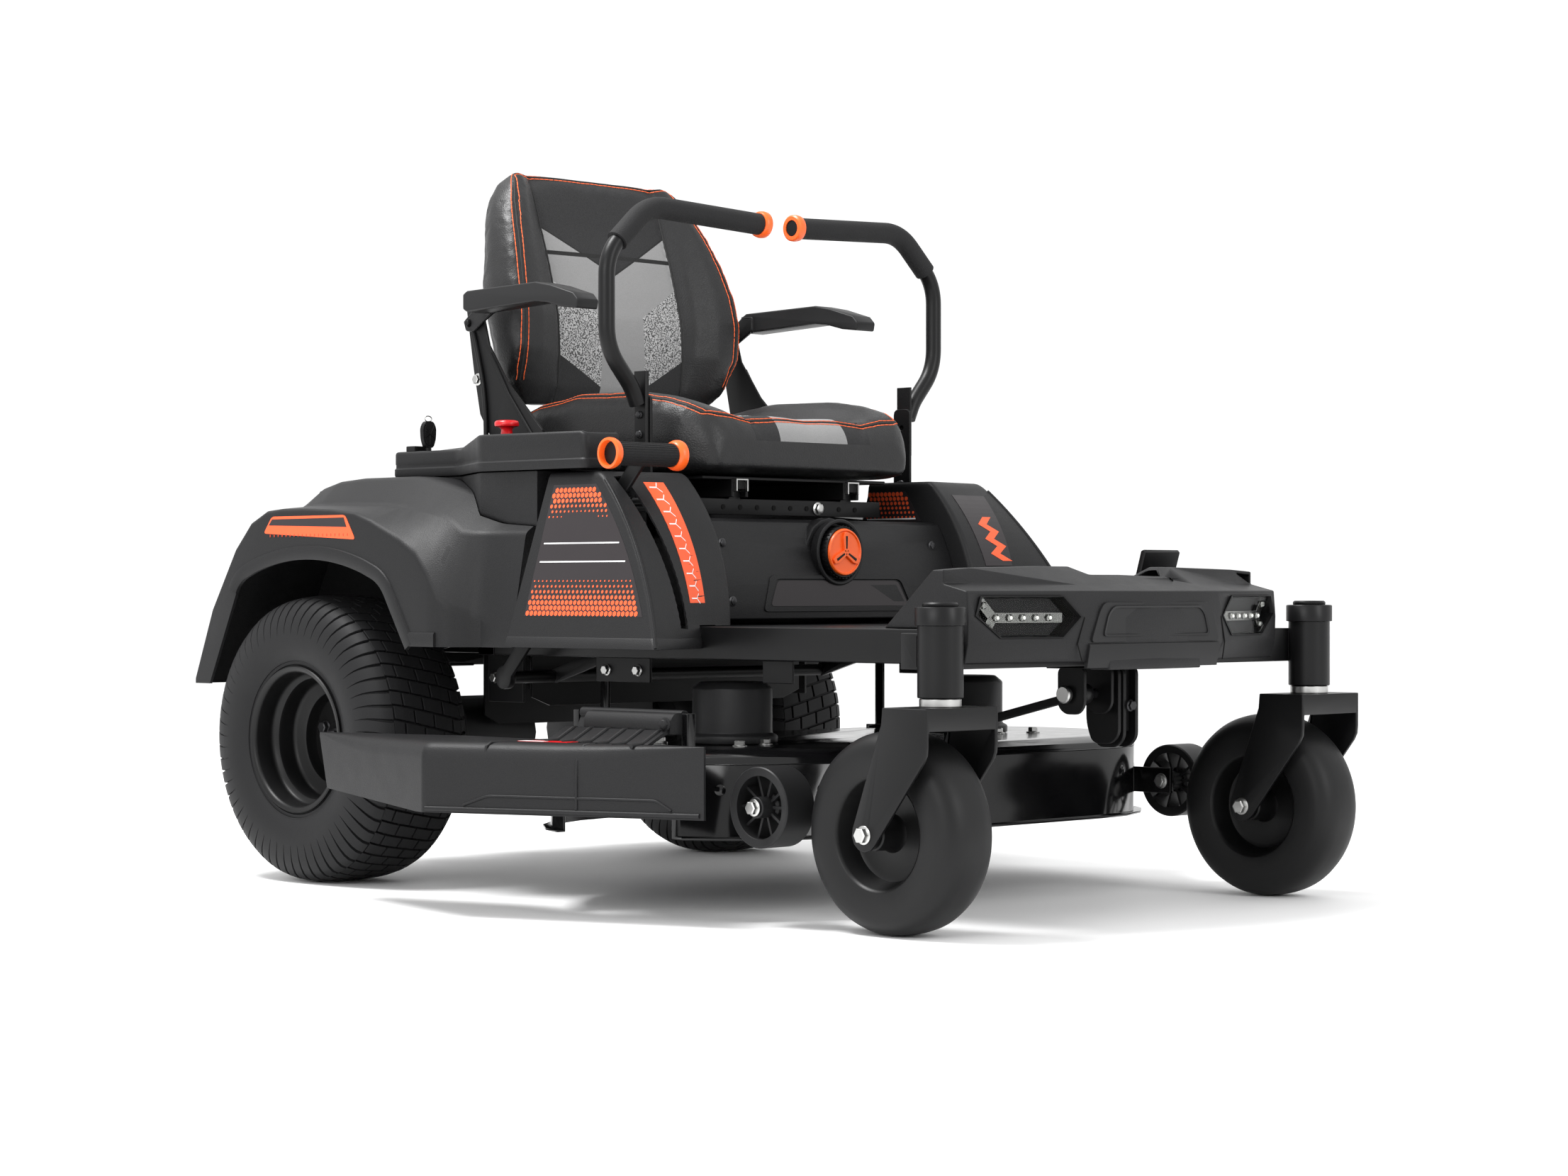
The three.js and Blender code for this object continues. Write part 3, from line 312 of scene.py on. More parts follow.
def glow_material():
    """A lamp's light cell, which glows faintly."""
    g = Graph("lamp_cell")
    gloss = g.math("MULTIPLY_ADD", g.cells(300), 0.2, 0.15)
    g.set(Base_Color=(0.9, 0.9, 0.85), Roughness=gloss, Metallic=0.6)
    g.set(Emission_Color=(1.0, 0.98, 0.9), Emission_Strength=0.35)
    return g.material


LENS = lens_material()
CELL = glow_material()


# ---------------------------------------------------------------- shapes
class Shape:
    """Points in millimetres and faces, with a material index on each face."""

    def __init__(self, points=(), faces=(), paint=0):
        self.points = [tuple(p) for p in points]
        self.faces = [tuple(f) for f in faces]
        self.paint = [paint] * len(self.faces)

    def __add__(self, other):
        made = Shape(self.points, self.faces)
        base = len(self.points)
        made.points += other.points
        made.faces += [tuple(i + base for i in f) for f in other.faces]
        made.paint = self.paint + other.paint
        return made

    def mapped(self, points, faces=None):
        made = Shape(points, faces or self.faces)
        made.paint = list(self.paint)
        return made

    def moved(self, x, y, z):
        return self.mapped([(p[0] + x, p[1] + y, p[2] + z) for p in self.points])

    def turned(self, axis, degrees):
        turn = Matrix.Rotation(math.radians(degrees), 3, axis)
        return self.mapped([tuple(turn @ Vector(p)) for p in self.points])

    def side(self, side):
        """The shape as drawn for the left, or its mirror image for the right."""
        if side > 0:
            return self
        return self.mapped([(x, -y, z) for x, y, z in self.points], [tuple(reversed(f)) for f in self.faces])


def loft(rings, caps=True, paint=0):
    """Closed rings of points joined into a skin, with the ends filled."""
    count = len(rings[0])
    faces = []
    for r in range(len(rings) - 1):
        for i in range(count):
            a, b = r * count + i, r * count + (i + 1) % count
            faces.append((a, b, b + count, a + count))
    if caps:
        faces.append(tuple(reversed(range(count))))
        faces.append(tuple(range((len(rings) - 1) * count, len(rings) * count)))
    return Shape([p for ring in rings for p in ring], faces, paint)


def lathe(profile, centre=(0, 0, 0), axis="y", steps=64, loop=False, paint=0):
    """A solid of revolution from (radius, height) points; loop joins the last point to the first."""
    cx, cy, cz = centre
    points = []
    for k in range(steps):
        a = 2 * math.pi * k / steps
        for r, h in profile:
            u, v = r * math.cos(a), r * math.sin(a)
            points.append({
                "y": (cx + u, cy + h, cz + v), "z": (cx + u, cy + v, cz + h), "x": (cx + h, cy + u, cz + v),
            }[axis])
    n = len(profile)
    faces = []
    for k in range(steps):
        k2 = (k + 1) % steps
        for i in range(n if loop else n - 1):
            j = (i + 1) % n
            faces.append((k * n + i, k * n + j, k2 * n + j, k2 * n + i))
    return Shape(points, faces, paint)


def rounded_corner(a, b, c, reach, steps):
    """Points round the corner b between a and c, starting and ending at a reach from it."""
    p, q = b + (a - b).normalized() * reach, b + (c - b).normalized() * reach
    return [p * (1 - t) ** 2 + b * 2 * t * (1 - t) + q * t * t for t in (k / steps for k in range(steps + 1))]


def corner_run(a, b, c, radius, steps=4):
    return [tuple(p) for p in rounded_corner(Vector(a), Vector(b), Vector(c), radius, steps)]


def bend_path(points, radius, steps=6):
    """Straight runs with corners rounded by the given radius."""
    corners = [Vector(p) for p in points]
    out = [corners[0]]
    for a, b, c in zip(corners, corners[1:], corners[2:]):
        out += rounded_corner(a, b, c, min(radius, (a - b).length * 0.48, (c - b).length * 0.48), steps)
    return out + [corners[-1]]


def soften(outline, radius, steps=3):
    """The same closed outline with its corners rounded."""
    out = []
    n = len(outline)
    for i in range(n):
        a, b, c = (Vector(outline[(i + k) % n]) for k in (-1, 0, 1))
        reach = min(radius, (a - b).length * 0.45, (c - b).length * 0.45)
        out += [tuple(p) for p in rounded_corner(a, b, c, reach, steps)]
    return out


def sweep(points, radius, sides=16):
    """A tube of one radius, or one radius for each point, carried along a line without twisting."""
    points = [Vector(p) for p in points]
    rings = []
    normal = None
    for i, p in enumerate(points):
        along = (points[min(i + 1, len(points) - 1)] - points[max(i - 1, 0)]).normalized()
        if normal is None:
            normal = along.cross(Vector((0, 0, 1)))
            if normal.length < 0.1:
                normal = along.cross(Vector((0, 1, 0)))
        normal = (normal - along * normal.dot(along)).normalized()
        up = normal.cross(along)
        r = radius[i] if isinstance(radius, (list, tuple)) else radius
        rings.append([tuple(p + normal * (a * r) + up * (b * r)) for a, b in ring_points(1, sides)])
    return loft(rings)


def slab(outline, plane, low, high, paint=0):
    """An outline in a plane, "xz", "yz" or "xy", extruded along the remaining axis."""
    across = {"xz": (0, 2, 1), "yz": (2, 0, 1), "xy": (0, 1, 2)}[plane]
    return loft([[tuple((u, v, w)[i] for i in across) for u, v in outline] for w in (low, high)], paint=paint)


def block(x0, x1, y0, y1, z0, z1, paint=0):
    return slab([(x0, y0), (x1, y0), (x1, y1), (x0, y1)], "xy", z0, z1, paint)


def ring_points(radius, count, centre=(0, 0), start=0.0):
    return [(
        centre[0] + radius * math.cos(math.radians(start) + 2 * math.pi * k / count),
        centre[1] + radius * math.sin(math.radians(start) + 2 * math.pi * k / count),
    ) for k in range(count)]


def arc(centre, radius, first, last, steps):
    return [(
        centre[0] + radius * math.cos(math.radians(first + (last - first) * k / steps)),
        centre[1] + radius * math.sin(math.radians(first + (last - first) * k / steps)),
    ) for k in range(steps + 1)]


def bolt(place, axis, across=16, height=7, washer=12, direction=1, paint=0):
    """A flange bolt: chamfered hexagon on a round washer face."""
    d = direction
    r = across / math.sqrt(3)
    head = [(0, 0), (r, 0), (r, d * height * 0.85), (r * 0.82, d * height), (0, d * height)]
    face = [(0, 0), (washer, 0), (washer, d * 1.5), (r * 0.9, d * 3), (0, d * 3)]
    lift = [d * 2 if axis == a else 0 for a in "xyz"]
    hexagon = lathe(head, (0, 0, 0), axis, 6, paint=paint).moved(*lift)
    return (lathe(face, (0, 0, 0), axis, 28, paint=paint) + hexagon).moved(*place)


def rod(radius, low, high, centre=(0, 0, 0), axis="y", steps=24, paint=0):
    """A plain cylinder between two places along its axis."""
    return lathe([(0, low), (radius, low), (radius, high), (0, high)], centre, axis, steps, paint=paint)


def pipe(inner, outer, low, high, centre=(0, 0, 0), axis="y", steps=24):
    """A plain tube between two places along its axis."""
    return lathe([(inner, low), (outer, low), (outer, high), (inner, high)], centre, axis, steps, loop=True)


def mirrored(half):
    """Half a section, from (radius, height) points, closed by its mirror image."""
    return half + [(r, -h) for r, h in reversed(half)]


def plate(place, outline, low, high, paint=0):
    """A thin plate on a curved face, where place(u, v, lift) is a point lifted off that face."""
    return loft([[place(u, v, lift) for u, v in outline] for lift in (low, high)], paint=paint)


# ---------------------------------------------------------------- pieces
WELD = 0.02


def mesh_of(name, shape, materials=()):
    """A shape as a mesh in metres, with doubled points joined and faces turned outwards."""
    mesh = bpy.data.meshes.new(name)
    mesh.from_pydata([at(*p) for p in shape.points], [], shape.faces)
    for m in materials:
        mesh.materials.append(m)
    if materials:
        mesh.polygons.foreach_set("material_index", [min(p, len(materials) - 1) for p in shape.paint])
    bm = bmesh.new()
    bm.from_mesh(mesh)
    bmesh.ops.remove_doubles(bm, verts=bm.verts, dist=WELD * MM)
    bmesh.ops.recalc_face_normals(bm, faces=bm.faces)
    bm.to_mesh(mesh)
    bm.free()
    return mesh


def as_list(materials):
    return materials if isinstance(materials, list) else [materials]


def build(name, shape, body, materials, bevel=0.0, segments=2, stands_for=None, smooth=34):
    """A shape made into a piece that rides on a CAD body."""
    piece = place_new(name, mesh_of(name, shape, as_list(materials)))
    dress(piece, bevel, segments, smooth=smooth)
    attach(piece, body)
    if stands_for:
        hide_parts(stands_for)
    return piece


def dress(piece, bevel=0.0, segments=2, angle=30, smooth=34):
    """Rounded edges and smooth shading up to an angle."""
    mesh = piece.data
    mesh.polygons.foreach_set("use_smooth", [True] * len(mesh.polygons))
    if bevel:
        edge = piece.modifiers.new("rounded_edges", "BEVEL")
        edge.width = bevel * MM
        edge.segments = segments
        edge.limit_method = "ANGLE"
        edge.angle_limit = math.radians(angle)
        edge.use_clamp_overlap = False
        edge.harden_normals = True
        edge.miter_outer = "MITER_ARC"
    else:
        mesh.set_sharp_from_angle(angle=math.radians(smooth))


def carve(piece, *cutters):
    """Cuts shapes out of a piece."""
    for shape in cutters:
        tool = place_new("cutter", mesh_of("cutter", shape))
        step = piece.modifiers.new("cut", "BOOLEAN")
        step.object = tool
        step.operation = "DIFFERENCE"
        step.solver = "EXACT"
        bake(piece)
        bpy.data.objects.remove(tool)


def bake(piece):
    """Applies the piece's modifiers to its mesh."""
    graph = bpy.context.evaluated_depsgraph_get()
    graph.update()
    mesh = bpy.data.meshes.new_from_object(piece.evaluated_get(graph))
    piece.modifiers.clear()
    piece.data = mesh


def refine(node, material, bevel=1.5, segments=2, angle=30):
    """A copy of a CAD node with its flat faces merged and its edges rounded, which stands for it."""
    source = NODES[node]
    mesh = source.data.copy()
    mesh.materials.clear()
    mesh.materials.append(material)
    bm = bmesh.new()
    bm.from_mesh(mesh)
    bmesh.ops.remove_doubles(bm, verts=bm.verts, dist=WELD * MM)
    bmesh.ops.dissolve_limit(bm, angle_limit=math.radians(1.0), verts=bm.verts, edges=bm.edges)
    for face in bm.faces:
        face.material_index = 0
    bm.to_mesh(mesh)
    bm.free()
    piece = place_new(node + "_finished", mesh)
    dress(piece, bevel, segments, angle)
    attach(piece, source["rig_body"])
    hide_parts(node)


# ---------------------------------------------------------------- plain steelwork, rounded from the CAD
def steelwork():
    """Plates, tubes and castings that keep their CAD shape, with eased edges."""
    for node, bevel, material in (
        ("rear_frame", 2.0, BLACK_STEEL), ("front_beam", 1.5, BLACK_STEEL), ("floor_pan", 1.0, SATIN_STEEL),
        ("seat_support", 1.2, SATIN_STEEL), ("battery_pack", 5.0, DARK_PLASTIC), ("rear_cover", 1.2, GRAINED),
        ("hanger_rod", 0.8, BLACK_STEEL), ("height_lever", 0.8, BLACK_STEEL),
        ("seat_platform", 0.8, SATIN_STEEL), ("seat_pan", 1.2, SATIN_STEEL),
        ("brake_pedal", 1.5, SATIN_STEEL), ("deck_shell", 1.2, DECK_PAINT),
    ):
        refine(node, material, bevel)
    for word, _ in SIDES:
        for node, material, bevel, segments in (
            ("frame_rail", BLACK_STEEL, 2.5, 3), ("drive_motor", MOTOR, 1.5, 2),
            ("control_arm", SATIN_STEEL, 0.6, 2), ("deck_motor", MOTOR, 2.0, 2),
            ("blade", BLADE_STEEL, 0.8, 2), ("caster_fork", BLACK_STEEL, 1.6, 3),
            ("armrest", SMOOTH_PLASTIC, 3, 4),
        ):
            refine(f"{node}_{word}", material, bevel, segments)


# ---------------------------------------------------------------- seat
def blend_rows(rows, t):
    """Interpolates a table of rows on their first column."""
    for low, high in zip(rows, rows[1:]):
        if t <= high[0]:
            break
    k = min(1.0, max(0.0, (t - low[0]) / (high[0] - low[0])))
    return [a + (b - a) * k for a, b in zip(low[1:], high[1:])]


# Backrest by height: rear face, centre panel, seam forward, seam sideways, half width.
BACK_ROWS = [
    (766, 154, 186, 192, 198, 202), (800, 142, 196, 212, 232, 236), (860, 136, 200, 236, 240, 248),
    (916, 126, 197, 239, 241, 252), (967, 114, 184, 229, 238, 249), (1018, 104, 169, 212, 229, 239),
    (1068, 92, 151, 190, 217, 226), (1110, 84, 138, 168, 203, 211), (1142, 84, 128, 148, 187, 192),
    (1160, 98, 122, 134, 168, 170),
]
PANEL_HALF = 140


def backrest_ring(z):
    """The backrest's outline at one height, with a raised rim round the sunk centre panel."""
    rear, centre, seam_x, seam_y, half = blend_rows(BACK_ROWS, z)
    lip = min(PANEL_HALF, seam_y - 24)
    run = [
        (rear - 3, 0), (rear - 2, half * 0.35), (rear, half - 46), (rear + 7, half - 14),
        (rear + 22, half - 3), ((rear + seam_x) / 2, half), (seam_x - 14, half - 1), (seam_x - 3, seam_y + 3),
        (seam_x - 2, seam_y - 10), (seam_x - (seam_x - centre) * 0.22, seam_y - (seam_y - lip) * 0.45),
        (seam_x - (seam_x - centre) * 0.62, lip + 16), (centre + 5, lip + 5), (centre - 4, lip),
        (centre, lip - 9), (centre + 3, lip * 0.5), (centre + 4, 0),
    ]
    ring = [(x, y, z) for x, y in run]
    return ring + [(x, -y, z) for x, y in reversed(run[1:-1])]


def backrest_shape():
    levels = [768, 776, 788, 800, 815, 830] + list(range(845, 1140, 15)) + [1140, 1149, 1156, 1160]
    return loft([backrest_ring(z) for z in levels])


# Cushion by distance forward: half width, bolster height, centre height, side foot.
CUSHION_ROWS = [
    (168, 212, 716, 706), (182, 232, 738, 718), (210, 240, 753, 724), (262, 244, 768, 727),
    (354, 247, 781, 728), (487, 247, 779, 730), (560, 246, 769, 733), (600, 242, 759, 736),
    (628, 232, 748, 735), (646, 222, 730, 722), (655, 210, 706, 700),
]


def cushion_ring(x):
    """The cushion's cross section at one distance forward, with bolsters beside the centre."""
    half, high, low = blend_rows(CUSHION_ROWS, x)
    front = max(0.0, (x - 560) / 95)
    foot = 651 + 5 * front * front
    run = [
        (0, foot), (half * 0.6, foot), (half - 14, foot), (half - 4, foot + 4), (half, foot + 14),
        (half + 1, (foot + high) / 2), (half - 2, high - 24), (half - 10, high - 8), (half - 24, high),
        (half - 44, high - 2), (half - 62, high - (high - low) * 0.3), (half - 84, low + (high - low) * 0.22),
        (half - 98, low + 1), (half - 104, low - 5), (half - 112, low), (70, low + 3), (40, low + 2),
        (0, low),
    ]
    ring = [(x, y, z) for y, z in run]
    return ring + [(x, -y, z) for x, y, z in reversed(ring[1:-1])]


def cushion_shape():
    stations = [168, 174, 182, 195] + list(range(210, 600, 15)) + [600, 612, 622, 632, 641, 649, 655]
    return loft([cushion_ring(x) for x in stations])


# Backrest fabrics, in metres: the chevron's rise and point, the grey strip's half width, the cross seam.
CHEVRON_RISE, CHEVRON_POINT = 0.53, 0.994
STRIP_HALF = 0.048
CROSS_SEAM = 1.0245


def back_zones(g, forward, side, up, front_from):
    """The backrest panel's fabrics: dark chevron, tweed flanks and dark corners on a grey field."""
    inside = g.math("LESS_THAN", side, (PANEL_HALF - 3) * MM)
    facing = g.math("GREATER_THAN", forward, front_from)
    panel = g.math("MULTIPLY", inside, facing)
    chevron = g.math("GREATER_THAN", up, g.math("MULTIPLY_ADD", side, CHEVRON_RISE, CHEVRON_POINT))
    flank = g.math("GREATER_THAN", side, STRIP_HALF)
    beyond = g.math("SUBTRACT", side, STRIP_HALF)
    tweed, corner = (
        g.math("MULTIPLY", flank, g.math("LESS_THAN", up, g.math("MULTIPLY_ADD", beyond, rise, start)))
        for rise, start in ((0.58, 0.925), (0.56, 0.805))
    )
    return panel, chevron, tweed, corner


def fabric_parts(g):
    """Weaves as colours and heights: dark mesh, grey suede and salt-and-pepper tweed."""
    warp = g.noise(900, 1, 0.5)
    dark = g.mix(warp, (0.009, 0.009, 0.0095), (0.03, 0.03, 0.031))
    grey = g.mix(g.noise(700, 2, 0.5), (0.2, 0.2, 0.2), (0.28, 0.28, 0.28))
    spots = g.node("ShaderNodeValToRGB")
    spots.color_ramp.elements[0].position = 0.42
    spots.color_ramp.elements[1].position = 0.56
    spots.color_ramp.elements[0].color = (0.05, 0.05, 0.05, 1)
    spots.color_ramp.elements[1].color = (0.42, 0.42, 0.42, 1)
    g.link(g.noise(420, 1, 0.5), spots.inputs["Fac"])
    return dark, grey, spots.outputs["Color"]


def seat_material(name, kind):
    """Grained vinyl with a panel of sewn fabrics, for the backrest or the cushion."""
    g = Graph(name)
    warp = g.noise(60, 2, 0.5)
    grain = g.cells(420, "SMOOTH_F1")
    creases = g.cells(260, "DISTANCE_TO_EDGE")
    vinyl_height = g.math("ADD", g.math("MULTIPLY", grain, 0.8), g.math("MULTIPLY", creases, 1.2))
    vinyl = g.mix(warp, (0.0075, 0.0075, 0.008), (0.0125, 0.0125, 0.013))
    dark, grey, tweed_colour = fabric_parts(g)
    x, y, z = g.axes()
    side = g.math("ABSOLUTE", g.math("SUBTRACT", y, ORIGIN.y))
    forward = g.math("SUBTRACT", x, ORIGIN.x)
    if kind == "back":
        limit = g.math("MULTIPLY_ADD", g.math("SUBTRACT", z, 0.8), -0.182, 0.168)
        panel, chevron, tweed, corner = back_zones(g, forward, side, z, limit)
        field = g.mix(tweed, grey, tweed_colour)
        field = g.mix(corner, field, dark)
        field = g.mix(chevron, field, dark)
        shaded_seams = [
            (g.math("SUBTRACT", z, g.math("MULTIPLY_ADD", side, CHEVRON_RISE, CHEVRON_POINT)), 0.0016),
            (g.math("SUBTRACT", z, CROSS_SEAM), 0.0035),
        ]
    else:
        top = g.math("GREATER_THAN", z, 0.7)
        reach = g.math("MULTIPLY_ADD", g.math("SUBTRACT", forward, 0.56), -0.16, 0.143, clamp=True)
        panel = g.math("MULTIPLY", g.math("LESS_THAN", side, reach), top)
        spread = g.math("MULTIPLY_ADD", g.math("SUBTRACT", forward, 0.4), 0.12, 0.045)
        strip = g.math("LESS_THAN", side, spread)
        tweed = g.math("MULTIPLY", g.math("LESS_THAN", forward, 0.5), g.math("GREATER_THAN", side, 0.05))
        field = g.mix(strip, dark, grey)
        field = g.mix(tweed, field, tweed_colour)
        shaded_seams = [(g.math("SUBTRACT", forward, 0.5), 0.0016)]
    # Near-black seam lines are painted shade in the sewn grooves, which the bump also sinks.
    line = None
    for offset, width in shaded_seams:
        near = g.math("LESS_THAN", g.math("ABSOLUTE", offset), width)
        line = near if line is None else g.math("MAXIMUM", line, near)
    field = g.mix(line, field, (0.012, 0.012, 0.012))
    g.set(Base_Color=g.mix(panel, vinyl, field))
    cloth_rough = g.math("MULTIPLY", panel, 0.42)
    g.set(Roughness=g.math("ADD", g.math("MULTIPLY_ADD", grain, 0.18, 0.36), cloth_rough, clamp=True))
    g.shader.inputs["Specular IOR Level"].default_value = 0.35
    weave = g.math("MULTIPLY", g.noise(1100, 1, 0.5), 1.6)
    flat = g.math("SUBTRACT", 1.0, panel)
    height = g.math("ADD", g.math("MULTIPLY", vinyl_height, flat), g.math("MULTIPLY", weave, panel))
    groove = g.math("MULTIPLY", g.math("MULTIPLY", line, panel), 3.0)
    g.bump(g.math("SUBTRACT", height, groove), 0.45, 0.0006)
    return g.material


CLOTH_PRESSURE = 4.0
CLOTH_STEPS = 20
VOXEL = 5.5


def stuff(piece, cap):
    """Blows the piece up a little with cloth, so that it is crowned and pulled in like filled foam."""
    remesh = piece.modifiers.new("remesh", "REMESH")
    remesh.mode = "VOXEL"
    remesh.voxel_size = VOXEL * MM
    remesh.use_smooth_shade = True
    bake(piece)
    rest = [v.co.copy() for v in piece.data.vertices]
    cloth = piece.modifiers.new("cloth", "CLOTH")
    cloth.settings.use_pressure = True
    cloth.settings.uniform_pressure_force = CLOTH_PRESSURE
    cloth.settings.mass = 0.4
    cloth.settings.quality = 5
    cloth.settings.effector_weights.gravity = 0
    cloth.point_cache.frame_start = 1
    cloth.point_cache.frame_end = CLOTH_STEPS
    scene = bpy.context.scene
    for k in range(1, CLOTH_STEPS + 1):
        scene.frame_set(k)
    graph = bpy.context.evaluated_depsgraph_get()
    blown = piece.evaluated_get(graph).to_mesh()
    for vertex, start, moved in zip(piece.data.vertices, rest, blown.vertices):
        step = moved.co - start
        if step.length > cap * MM:
            step *= cap * MM / step.length
        vertex.co = start + step
    piece.evaluated_get(graph).to_mesh_clear()
    piece.modifiers.clear()
    scene.frame_set(1)
    fine = piece.modifiers.new("fine", "SUBSURF")
    fine.levels = fine.render_levels = 1
    bake(piece)
    piece.data.polygons.foreach_set("use_smooth", [True] * len(piece.data.polygons))


def laid_on(surface_tree, points, spacing, lift):
    """Points along a line, dropped onto a surface, in millimetres."""
    line = [at(*p) for p in points]
    placed = []
    for a, b in zip(line, line[1:]):
        steps = max(1, int((b - a).length / (spacing * MM)))
        for k in range(steps):
            spot = surface_tree.find_nearest(a.lerp(b, k / steps))
            placed.append((spot[0] + spot[1] * (lift * MM) - ORIGIN) / MM)
    return placed


# Stitches: thread length, gap between threads, thread radius, height above the cover.
DASH, GAP, THREAD_R, THREAD_LIFT = 7.0, 1.6, 0.8, 0.3


def stitch_line(surface_tree, points):
    """Stitches along points, laid on a surface: short dashes with thin ends."""
    placed = laid_on(surface_tree, points, 2.2, THREAD_LIFT)
    shape = Shape()
    run, travelled = [], 0.0
    for a, b in zip(placed, placed[1:]):
        run.append(a)
        travelled += (b - a).length
        if travelled >= DASH:
            run.append(b)
            inner = [THREAD_R] * (len(run) - 2)
            shape += sweep(run, [THREAD_R / 2] + inner + [THREAD_R / 2], 6)
            run, travelled = [], -GAP
        elif travelled < 0:
            run = []
    return shape


def cord_line(surface_tree, points, radius, lift=0.0):
    """A continuous piping laid on a surface."""
    return sweep(laid_on(surface_tree, points, 5, lift), radius, 8)


def seam_run(offset_back, offset_in):
    """The backrest's outer seam from the lower right, over the top, to the lower left."""
    up = []
    for z in range(806, 1141, 12):
        _, _, seam_x, seam_y, _ = blend_rows(BACK_ROWS, z)
        up.append((seam_x - offset_back, seam_y - offset_in, z))
    crown = []
    for y in range(-170, 171, 10):
        dip = min(0, (170 - abs(y)) / 10 - 2)
        crown.append((126 - offset_back * 0.9 + offset_in * 0.25, y, 1159 - offset_in * 0.8 + dip))
    return [(x, -y, z) for x, y, z in up] + crown + list(reversed(up))


def padded_cover(name, shape, material, node, cap):
    """A stuffed cover that stands for a CAD cushion, with a search tree of its surface."""
    piece = build(name, shape, "seat", material)
    stuff(piece, cap)
    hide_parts(node)
    return BVHTree.FromObject(piece, bpy.context.evaluated_depsgraph_get())


def sewing(name, threads, piping):
    build(f"{name}_stitching", threads, "seat", THREAD)
    build(f"{name}_piping", piping, "seat", DARK_THREAD)


def make_seat():
    """Backrest and cushion, each with two rows of stitches and piped seams."""
    cloth = seat_material("backrest_vinyl_and_cloth", "back")
    tree = padded_cover("backrest_cover", backrest_shape(), cloth, "seat_backrest", 5)
    threads = stitch_line(tree, seam_run(7, -3)) + stitch_line(tree, seam_run(-1, 9))
    piping = cord_line(tree, seam_run(2, 3), 1.6)
    for side in (1, -1):
        inner = [(blend_rows(BACK_ROWS, z)[1], PANEL_HALF * side, z) for z in range(800, 1150, 10)]
        piping += cord_line(tree, inner, 2.2, -0.6)
    sewing("backrest", threads, piping)

    cloth = seat_material("cushion_vinyl_and_cloth", "cushion")
    tree = padded_cover("seat_cushion_cover", cushion_shape(), cloth, "seat_cushion", 3)
    threads, piping = Shape(), Shape()
    for shift in (-5, 1, 7):
        run = []
        for x in range(196, 631, 12):
            half, high, _ = blend_rows(CUSHION_ROWS, x)
            run.append((x, half - 12 - shift, high - 4 + shift * 0.3))
        front = []
        for y in range(200, -201, -10):
            dip = 748 - 8 * math.exp(-((abs(y) - 105) / 60) ** 2) - max(0, abs(y) - 150) * 0.02
            front.append((640 - shift * 0.9, y, dip + shift * 0.5))
        whole = run + front + [(x, -y, z) for x, y, z in reversed(run)]
        if shift == 1:
            piping += cord_line(tree, whole, 1.6)
        else:
            threads += stitch_line(tree, whole)
    for side in (1, -1):
        inner = []
        for x in range(190, 631, 12):
            half, _, low = blend_rows(CUSHION_ROWS, x)
            inner.append((x, (half - 104) * side, low))
        piping += cord_line(tree, inner, 2.0, -0.6)
    sewing("cushion", threads, piping)


# ---------------------------------------------------------------- wheels
AXLE_Z, WHEEL_Y = 230, 430
WHEEL_CENTRE = (0, WHEEL_Y, AXLE_Z)
PITCHES = 60
PITCH = 2 * math.pi / PITCHES
# Tread bricks: half the tread's width, length, step, shortest piece, depth and slant.
TREAD_HALF, BRICK, BRICK_STEP, BRICK_MIN, BRICK_DEPTH, SLANT = 66, 35, 38, 6, 7, 0.22
CROWN = ((0, 230), (30, 230), (50, 228.8), (66, 225.5))
# Shoulder: across, radius, lean of the surface, slit depth, slit width.
SHOULDER = (
    (67, 225.3, 8, 5.0, 1.0), (76, 221.5, 25, 5.0, 1.0), (84, 214.5, 42, 4.6, 0.9),
    (90.5, 205, 55, 4.0, 0.75), (95.5, 194, 66, 3.0, 0.55), (98.6, 181, 76, 1.4, 0.35),
    (99.9, 168, 86, 0.0, 0.2),
)
SIDEWALL = (
    (99.5, 156), (97.2, 144), (94, 135), (91.4, 130), (89.8, 127), (89.9, 125.6), (88.2, 125), (87.6, 121.5),
    (87.8, 120.5), (86, 119.5), (85, 117), (85, 112),
)
# The rim's section from the hub's face to the bead and back along the axle: radius, across.
RIM_SECTION = (
    (0, 8), (24, 8), (27, 6), (28, 2), (28, -6), (34, -8), (71, -8), (72.4, -6), (73, 8), (74.5, 12.5),
    (79, 15), (90, 18), (94.5, 21), (96, 25), (96, 46), (97.5, 50), (104, 53.5), (106.5, 57), (107, 61),
    (107, 85), (108.5, 89.5), (112, 92), (116, 92.6), (117.6, 91), (116.5, 89), (111, 86.5), (111, -86.5),
    (117, -92), (107, -92), (107, 47), (100, 43), (100, 12), (62, -14), (20, -14), (20, -96), (0, -96),
)


def crown_radius(h):
    return blend_rows(CROWN, abs(h))[0]


def on_wheel(radius, across, angle):
    return (radius * math.cos(angle), WHEEL_Y + across, AXLE_Z + radius * math.sin(angle))


